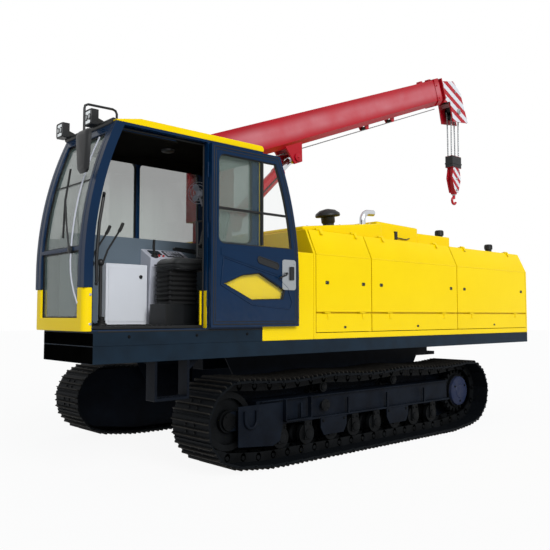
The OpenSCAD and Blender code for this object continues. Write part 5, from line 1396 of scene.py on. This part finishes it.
        # The pre-cleaner, raised so that its neck comes out of the scoop
        radius = (hi("air_cleaner").y - lo("air_cleaner").y) / 2
        height = hi("air_cleaner").z - lo("air_cleaner").z - 0.004
        foot = Vector((front - self.cleaner_back, (lo("air_cleaner").y + hi("air_cleaner").y) / 2,
                       lo("air_cleaner").z + self.cleaner_lift))
        bowl = Form()
        bowl.lathe([(radius * r, height * h) for r, h in self.cleaner], facing(foot, (rise, 0, 1)), 40)
        bowl = bowl.done("pre_cleaner", "carrier", ("Black ABS",), "black_plastic", bevel=0.002, sharp=40)
        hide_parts("air_cleaner")
        return {"FINISHED"}


class CARRIER_OT_crane(bpy.types.Operator):
    """Dress the crane: pins, ropes, rope guides, head stripes and boom lugs"""
    bl_idname = "carrier.crane"
    bl_label = "Crane"

    # Head plate: outline as shares of its length and depth, those, its start along the boom, half width
    head = ((0, 0.25), (0.68, 0.16), (0.94, -0.2), (1, -1), (0.24, -0.83), (0.3, -0.32), (0, -0.3))
    head_l = 0.585
    head_low = 0.65
    head_u = 5.13
    head_half = 0.12

    def execute(self, context):
        bolt_r = sizes().bolt
        # Head plates: white bands over the red, both sides, that fall towards the tip
        outline = [(self.head_u + a * self.head_l, b * self.head_low) for a, b in self.head]
        faces = ((self.head_half, 0.0015), (-self.head_half, -0.0015))
        stripes = warning_bands(outline, 45, sizes().stripe, 0.05, faces, BOOM)
        stripes.done("head_stripes", "boom_third", ("White enamel",), "white_paint", sharp=30)

        boom = Form()
        # Square lifting lugs on the boom's back, near the head
        for u in (4.72, 4.97):
            boom.prism([(u - 0.045, 0.198), (u + 0.045, 0.198), (u + 0.03, 0.235), (u - 0.03, 0.235)],
                       (-0.035, 0.035), BOOM)
        # Rope guides under the boom
        for u in (3.05, 3.7):
            ear = [(u - 0.05, -0.198), (u + 0.05, -0.198), (u + 0.025, -0.262), (u - 0.025, -0.262)]
            boom.prism(ear, (-0.062, -0.05), BOOM)
            boom.prism(ear, (0.05, 0.062), BOOM)
            boom.finish = 2
            boom.tube([BOOM @ Vector((u, -0.232, w)) for w in (-0.05, 0.05)], 0.022, 14)
            boom.finish = 0
        # Foot pin with its keeper plates, and the cylinder's upper pin
        for u, v, r, half, finish in ((0, 0, 0.052, 0.17, 1), (1.4, -0.35, 0.042, 0.126, 0)):
            boom.finish = finish
            boom.tube([BOOM @ Vector((u, v, w)) for w in (-half - 0.012, half + 0.012)], r * 0.9, 20)
            for side in (-1, 1):
                centre = BOOM @ Vector((u, v, side * (half + 0.008)))
                boom.lathe([(r * 1.25, 0), (r * 1.25, 0.006), (r * 1.1, 0.009)], facing(centre, (0, side, 0)),
                           24)
                boom.bolt(centre + Vector((0, side * 0.008, 0)), (0, side, 0), bolt_r)
        # Boom collar bolts
        for side in (-1, 1):
            for v in (-0.1, 0.1):
                boom.bolt(BOOM @ Vector((4.93, v, side * 0.167)), (0, side, 0), 0.012)
        boom.finish = 3
        # Winch rope along the underside, drawn taut between its guides
        boom.tube([BOOM @ Vector((u, -0.256, 0)) for u in (0.55, 2.2, 3.8, 4.98)], 0.007, 8)
        boom.done("boom_fittings", "boom",
                  ("Crimson enamel", "Zinc plate", "Black ABS", "Galvanised wire rope"), "red_paint",
                  bevel=0.0015)

        tip = Form()
        # Sheave pin ends and cross bolts of the head
        for side in (-1, 1):
            tip.lathe([(0.05, 0.0), (0.05, 0.012), (0.036, 0.018)],
                      facing(HEAD + Vector((0, side * self.head_half, 0)), (0, side, 0)), 24)
            tip.bolt(HEAD + Vector((0, side * 0.136, 0)), (0, side, 0), bolt_r)
            for u, v in ((5.2, 0.09), (5.2, -0.12), (5.52, -0.08)):
                tip.bolt(BOOM @ Vector((u, v, side * 0.1215)), (0, side, 0), 0.013)
        tip.finish = 1
        tip.tube([BOOM @ Vector((5.42, -0.2, w)) for w in (-0.1, 0.1)], 0.03, 16)
        tip.done("head_fittings", "boom_third", ("Zinc plate", "Black ABS"), "chrome", bevel=0.001)

        lift = Form()
        base = Vector(JOINTS["lift_cylinder_swing"]["pos_m"])
        along = Vector(JOINTS["lift_piston_stroke"]["axis"]).normalized()
        # Gland nut, ports and the hard line on the barrel
        lift.finish = 0
        lift.lathe([(0.0835, 1.06), (0.09, 1.066), (0.09, 1.13), (0.0835, 1.136)], facing(base, along), 32)
        lift.finish = 1
        side = Vector((0, 1, 0))
        lift.tube([base + along * t + side * 0.094 for t in (0.3, 0.7, 1.02)], 0.009, 8)
        for t in (0.3, 1.02):
            lift.lathe([(0.018, -0.02), (0.018, 0.02)], facing(base + along * t + side * 0.088, side), 12)
        lift.done("lift_fittings", "lift_cylinder", ("Crimson enamel", "Black ABS"), "red_paint",
                  bevel=0.0015)

        falls = Form()
        # Four falls of wire rope, drawn a little stout so that they show
        low, high = lo("hoist_ropes"), hi("hoist_ropes")
        # They close in from the head's sheaves to the block's, which stand nearer to each other
        mid = (low.y + high.y) / 2
        for x in (low.x + 0.007, high.x - 0.007):
            for side in (-1, 1):
                falls.tube([(x, mid + side * out, z) for out, z in
                            ((0.034, low.z), (0.036, (low.z + high.z) / 2), (0.04, high.z - 0.16),
                             (0.055, high.z))], 0.011, 12)
        ropes = falls.done("hoist_falls", "hook_gear", ("Galvanised wire rope",), "rope_steel")
        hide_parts("hoist_ropes")

        turret = Form()
        ring_low, ring_high = lo("crane_base"), hi("crane_base")
        centre = Vector(((ring_low.x + ring_high.x) / 2, (ring_low.y + ring_high.y) / 2, ring_high.z))
        for i in range(16):
            a = 2 * math.pi * i / 16
            turret.bolt(centre + Vector((0.27 * math.cos(a), 0.27 * math.sin(a), -0.001)), (0, 0, 1), bolt_r)
        turret.done("slew_ring_bolts", "carrier", ("Zinc plate",), "chrome")
        return {"FINISHED"}


class CARRIER_OT_hook(bpy.types.Operator):
    """Dress the hook block: striped cheeks, sleeve bolts and the hook's safety latch"""
    bl_idname = "carrier.hook"
    bl_label = "Hook block"

    # Cheek plate: outline as shares of its length and height, those, its outer face, the bands' width
    cheek = ((-0.36, 0), (0.36, 0), (0.5, 0.42), (0.2, 0.94), (-0.2, 0.94), (-0.5, 0.42))
    cheek_l = 0.26
    cheek_h = 0.45
    cheek_face = 0.14 / 3 + 0.013
    band_w = 0.06

    def execute(self, context):
        low, high = lo("hook_block"), hi("hook_block")
        middle = (low.y + high.y) / 2
        top = high.z - 0.2
        outline = [(HEAD.x + a * self.cheek_l, top - b * self.cheek_h) for a, b in self.cheek]
        faces = ((middle + self.cheek_face, 0.0012), (middle - self.cheek_face, -0.0012))
        stripes = warning_bands(outline, -40, self.band_w, 0.03, faces)
        stripes.done("hook_block_stripes", "hook_gear", ("White enamel",), "white_paint", sharp=30)
        block = Form()
        # Black sleeve that guides the falls, over the block's upper end
        block.finish = 0
        block.box((HEAD.x - 0.132, middle - 0.072, top + 0.004),
                  (HEAD.x + 0.132, middle + 0.072, high.z - 0.004))
        block.box((HEAD.x - 0.138, middle - 0.078, top + 0.06), (HEAD.x + 0.138, middle + 0.078, top + 0.085))
        block.finish = 1
        for side in (1, -1):
            for x, z in ((0, -0.19), (-0.07, -0.05), (0.07, -0.05), (0, -0.38)):
                size = 0.011 if x else 0.016
                block.bolt((HEAD.x + x, middle + side * 0.0605, top + z), (0, side, 0), size)
        block.done("hook_block_sleeve", "hook_gear", ("Black ABS", "Zinc plate"), "black_plastic",
                   bevel=0.003)
        latch = Form()
        hook_top = hi("hook").z
        latch.tube([(HEAD.x + 0.01, middle, hook_top - 0.05), (HEAD.x + 0.035, middle, hook_top - 0.075),
                    (HEAD.x + 0.05, middle, hook_top - 0.105)], 0.006, 8)
        latch.lathe([(0.03, -0.014), (0.03, -0.002), (0.026, 0.0)],
                    Matrix.Translation((HEAD.x, middle, hook_top - 0.004)), 6)
        latch.done("hook_latch", "hook_swivel", ("Zinc plate",), "chrome")
        return {"FINISHED"}


class CARRIER_OT_stage(bpy.types.Operator):
    """Set the floor, soft light and camera"""
    bl_idname = "carrier.stage"
    bl_label = "Stage"

    # Camera as solved from the photograph: yaw and pitch in degrees,
    # and its place from the ground under the deck's front
    aim = (227.758, 3.450)
    stand = (2.5743, 6.5930, 1.5221)
    sensor_mm = 36
    floor_half = 60

    def seen(self, tree):
        """One for rays that see a surface directly, in a mirror or through glass."""
        path = add_node(tree, "ShaderNodeLightPath").outputs
        direct = reckon(tree, "MAXIMUM", path["Is Camera Ray"], path["Is Glossy Ray"])
        return reckon(tree, "MAXIMUM", direct, path["Is Transmission Ray"])

    def execute(self, context):
        scene = context.scene
        look = scene.carrier_stage
        scene.view_settings.view_transform = "Standard"
        # World: even light, and plain white where it is seen or mirrored
        world = bpy.data.worlds.new("Studio")
        scene.world = world
        world.use_nodes = True
        tree = world.node_tree
        tree.nodes.clear()
        light = add_node(tree, "ShaderNodeBackground", {"Color": linear("#f4f6fa"), "Strength": look.fill})
        white = add_node(tree, "ShaderNodeBackground", {"Color": (1, 1, 1, 1), "Strength": 1.0})
        mix = add_node(tree, "ShaderNodeMixShader",
                       {0: self.seen(tree), 1: light.outputs[0], 2: white.outputs[0]})
        add_node(tree, "ShaderNodeOutputWorld", {"Surface": mix.outputs[0]})
        # Floor: pale, keeps the shadow, and reads as white paper
        material = bpy.data.materials.new("Paper floor")
        material.use_nodes = True
        tree = material.node_tree
        tree.nodes.clear()
        grain = add_node(tree, "ShaderNodeTexNoise", {"Scale": 1 / 0.8, "Detail": 2.0})
        tone = blend(tree, grain.outputs["Fac"], linear("#eceef0"), linear("#f4f5f6"))
        matt = add_node(tree, "ShaderNodeBsdfDiffuse", {"Color": tone})
        bright = add_node(tree, "ShaderNodeEmission", {"Color": (1, 1, 1, 1), "Strength": 1.0})
        paper = add_node(tree, "ShaderNodeMixShader", {0: 0.92, 1: matt.outputs[0], 2: bright.outputs[0]})
        mix = add_node(tree, "ShaderNodeMixShader",
                       {0: self.seen(tree), 1: matt.outputs[0], 2: paper.outputs[0]})
        add_node(tree, "ShaderNodeOutputMaterial", {"Surface": mix.outputs[0]})
        mesh = bpy.data.meshes.new("floor")
        half = self.floor_half
        corners = [(-half, -half, 0), (half, -half, 0), (half, half, 0), (-half, half, 0)]
        mesh.from_pydata(corners, [], [(0, 1, 2, 3)])
        mesh.materials.append(material)
        floor = bpy.data.objects.new("floor", mesh)
        scene.collection.objects.link(floor)
        for name, energy, spread_angle, direction in (("key", look.key, 30, (0.22, 0.86, 0.46)),
                                                      ("front", 0.12, 60, (0.95, 0.2, 0.3))):
            lamp = bpy.data.lights.new(name, "SUN")
            lamp.energy = energy
            lamp.angle = math.radians(spread_angle)
            sun = bpy.data.objects.new(name, lamp)
            sun.rotation_euler = Vector(direction).to_track_quat("Z", "Y").to_euler()
            scene.collection.objects.link(sun)
        # Camera: the photograph's place and angle
        camera = bpy.data.cameras.new("camera")
        camera.sensor_width = self.sensor_mm
        camera.lens = look.lens
        camera.clip_end = 200
        eye = bpy.data.objects.new("camera", camera)
        yaw, pitch = map(math.radians, self.aim)
        ahead = Vector((math.cos(pitch) * math.cos(yaw), math.cos(pitch) * math.sin(yaw), math.sin(pitch)))
        right = Vector((math.sin(yaw), -math.cos(yaw), 0))
        x, y, z = self.stand
        eye.matrix_world = plane(right, right.cross(ahead), -ahead, (FRONT + x, y, z))
        scene.collection.objects.link(eye)
        scene.camera = eye
        return {"FINISHED"}


STEPS = (CARRIER_OT_finishes, CARRIER_OT_stage, CARRIER_OT_tracks, CARRIER_OT_undercarriage, CARRIER_OT_deck,
         CARRIER_OT_cab, CARRIER_OT_cab_door, CARRIER_OT_cab_inside, CARRIER_OT_seat, CARRIER_OT_lamps,
         CARRIER_OT_hood, CARRIER_OT_crane, CARRIER_OT_hook)


class CARRIER_PT_panel(bpy.types.Panel):
    """Lists the carrier's colours, sizes and steps"""
    bl_idname = "CARRIER_PT_panel"
    bl_label = "Tracked carrier"
    bl_space_type = "VIEW_3D"
    bl_region_type = "UI"
    bl_category = "Carrier"

    def draw(self, context):
        for group in (context.scene.carrier_colours, context.scene.carrier_sizes,
                      context.scene.carrier_stage):
            for key in group.__annotations__:
                self.layout.prop(group, key)
        for step in STEPS:
            self.layout.operator(step.bl_idname)


GROUPS = {"carrier_colours": CarrierColours, "carrier_sizes": CarrierSizes, "carrier_stage": CarrierStage}


def register():
    for cls in (*GROUPS.values(), *STEPS, CARRIER_PT_panel):
        bpy.utils.register_class(cls)
    for key, group in GROUPS.items():
        setattr(bpy.types.Scene, key, PointerProperty(type=group))


def unregister():
    for key in GROUPS:
        delattr(bpy.types.Scene, key)
    for cls in (CARRIER_PT_panel, *reversed(STEPS), *reversed(GROUPS.values())):
        bpy.utils.unregister_class(cls)


def main():
    register()
    bpy.ops.carrier.finishes()
    bpy.ops.carrier.stage()
    bpy.ops.carrier.tracks()
    bpy.ops.carrier.undercarriage()
    bpy.ops.carrier.deck()
    bpy.ops.carrier.cab()
    bpy.ops.carrier.cab_door()
    bpy.ops.carrier.cab_inside()
    bpy.ops.carrier.seat()
    bpy.ops.carrier.lamps()
    bpy.ops.carrier.hood()
    bpy.ops.carrier.crane()
    bpy.ops.carrier.hook()


if __name__ == "__main__":
    main()
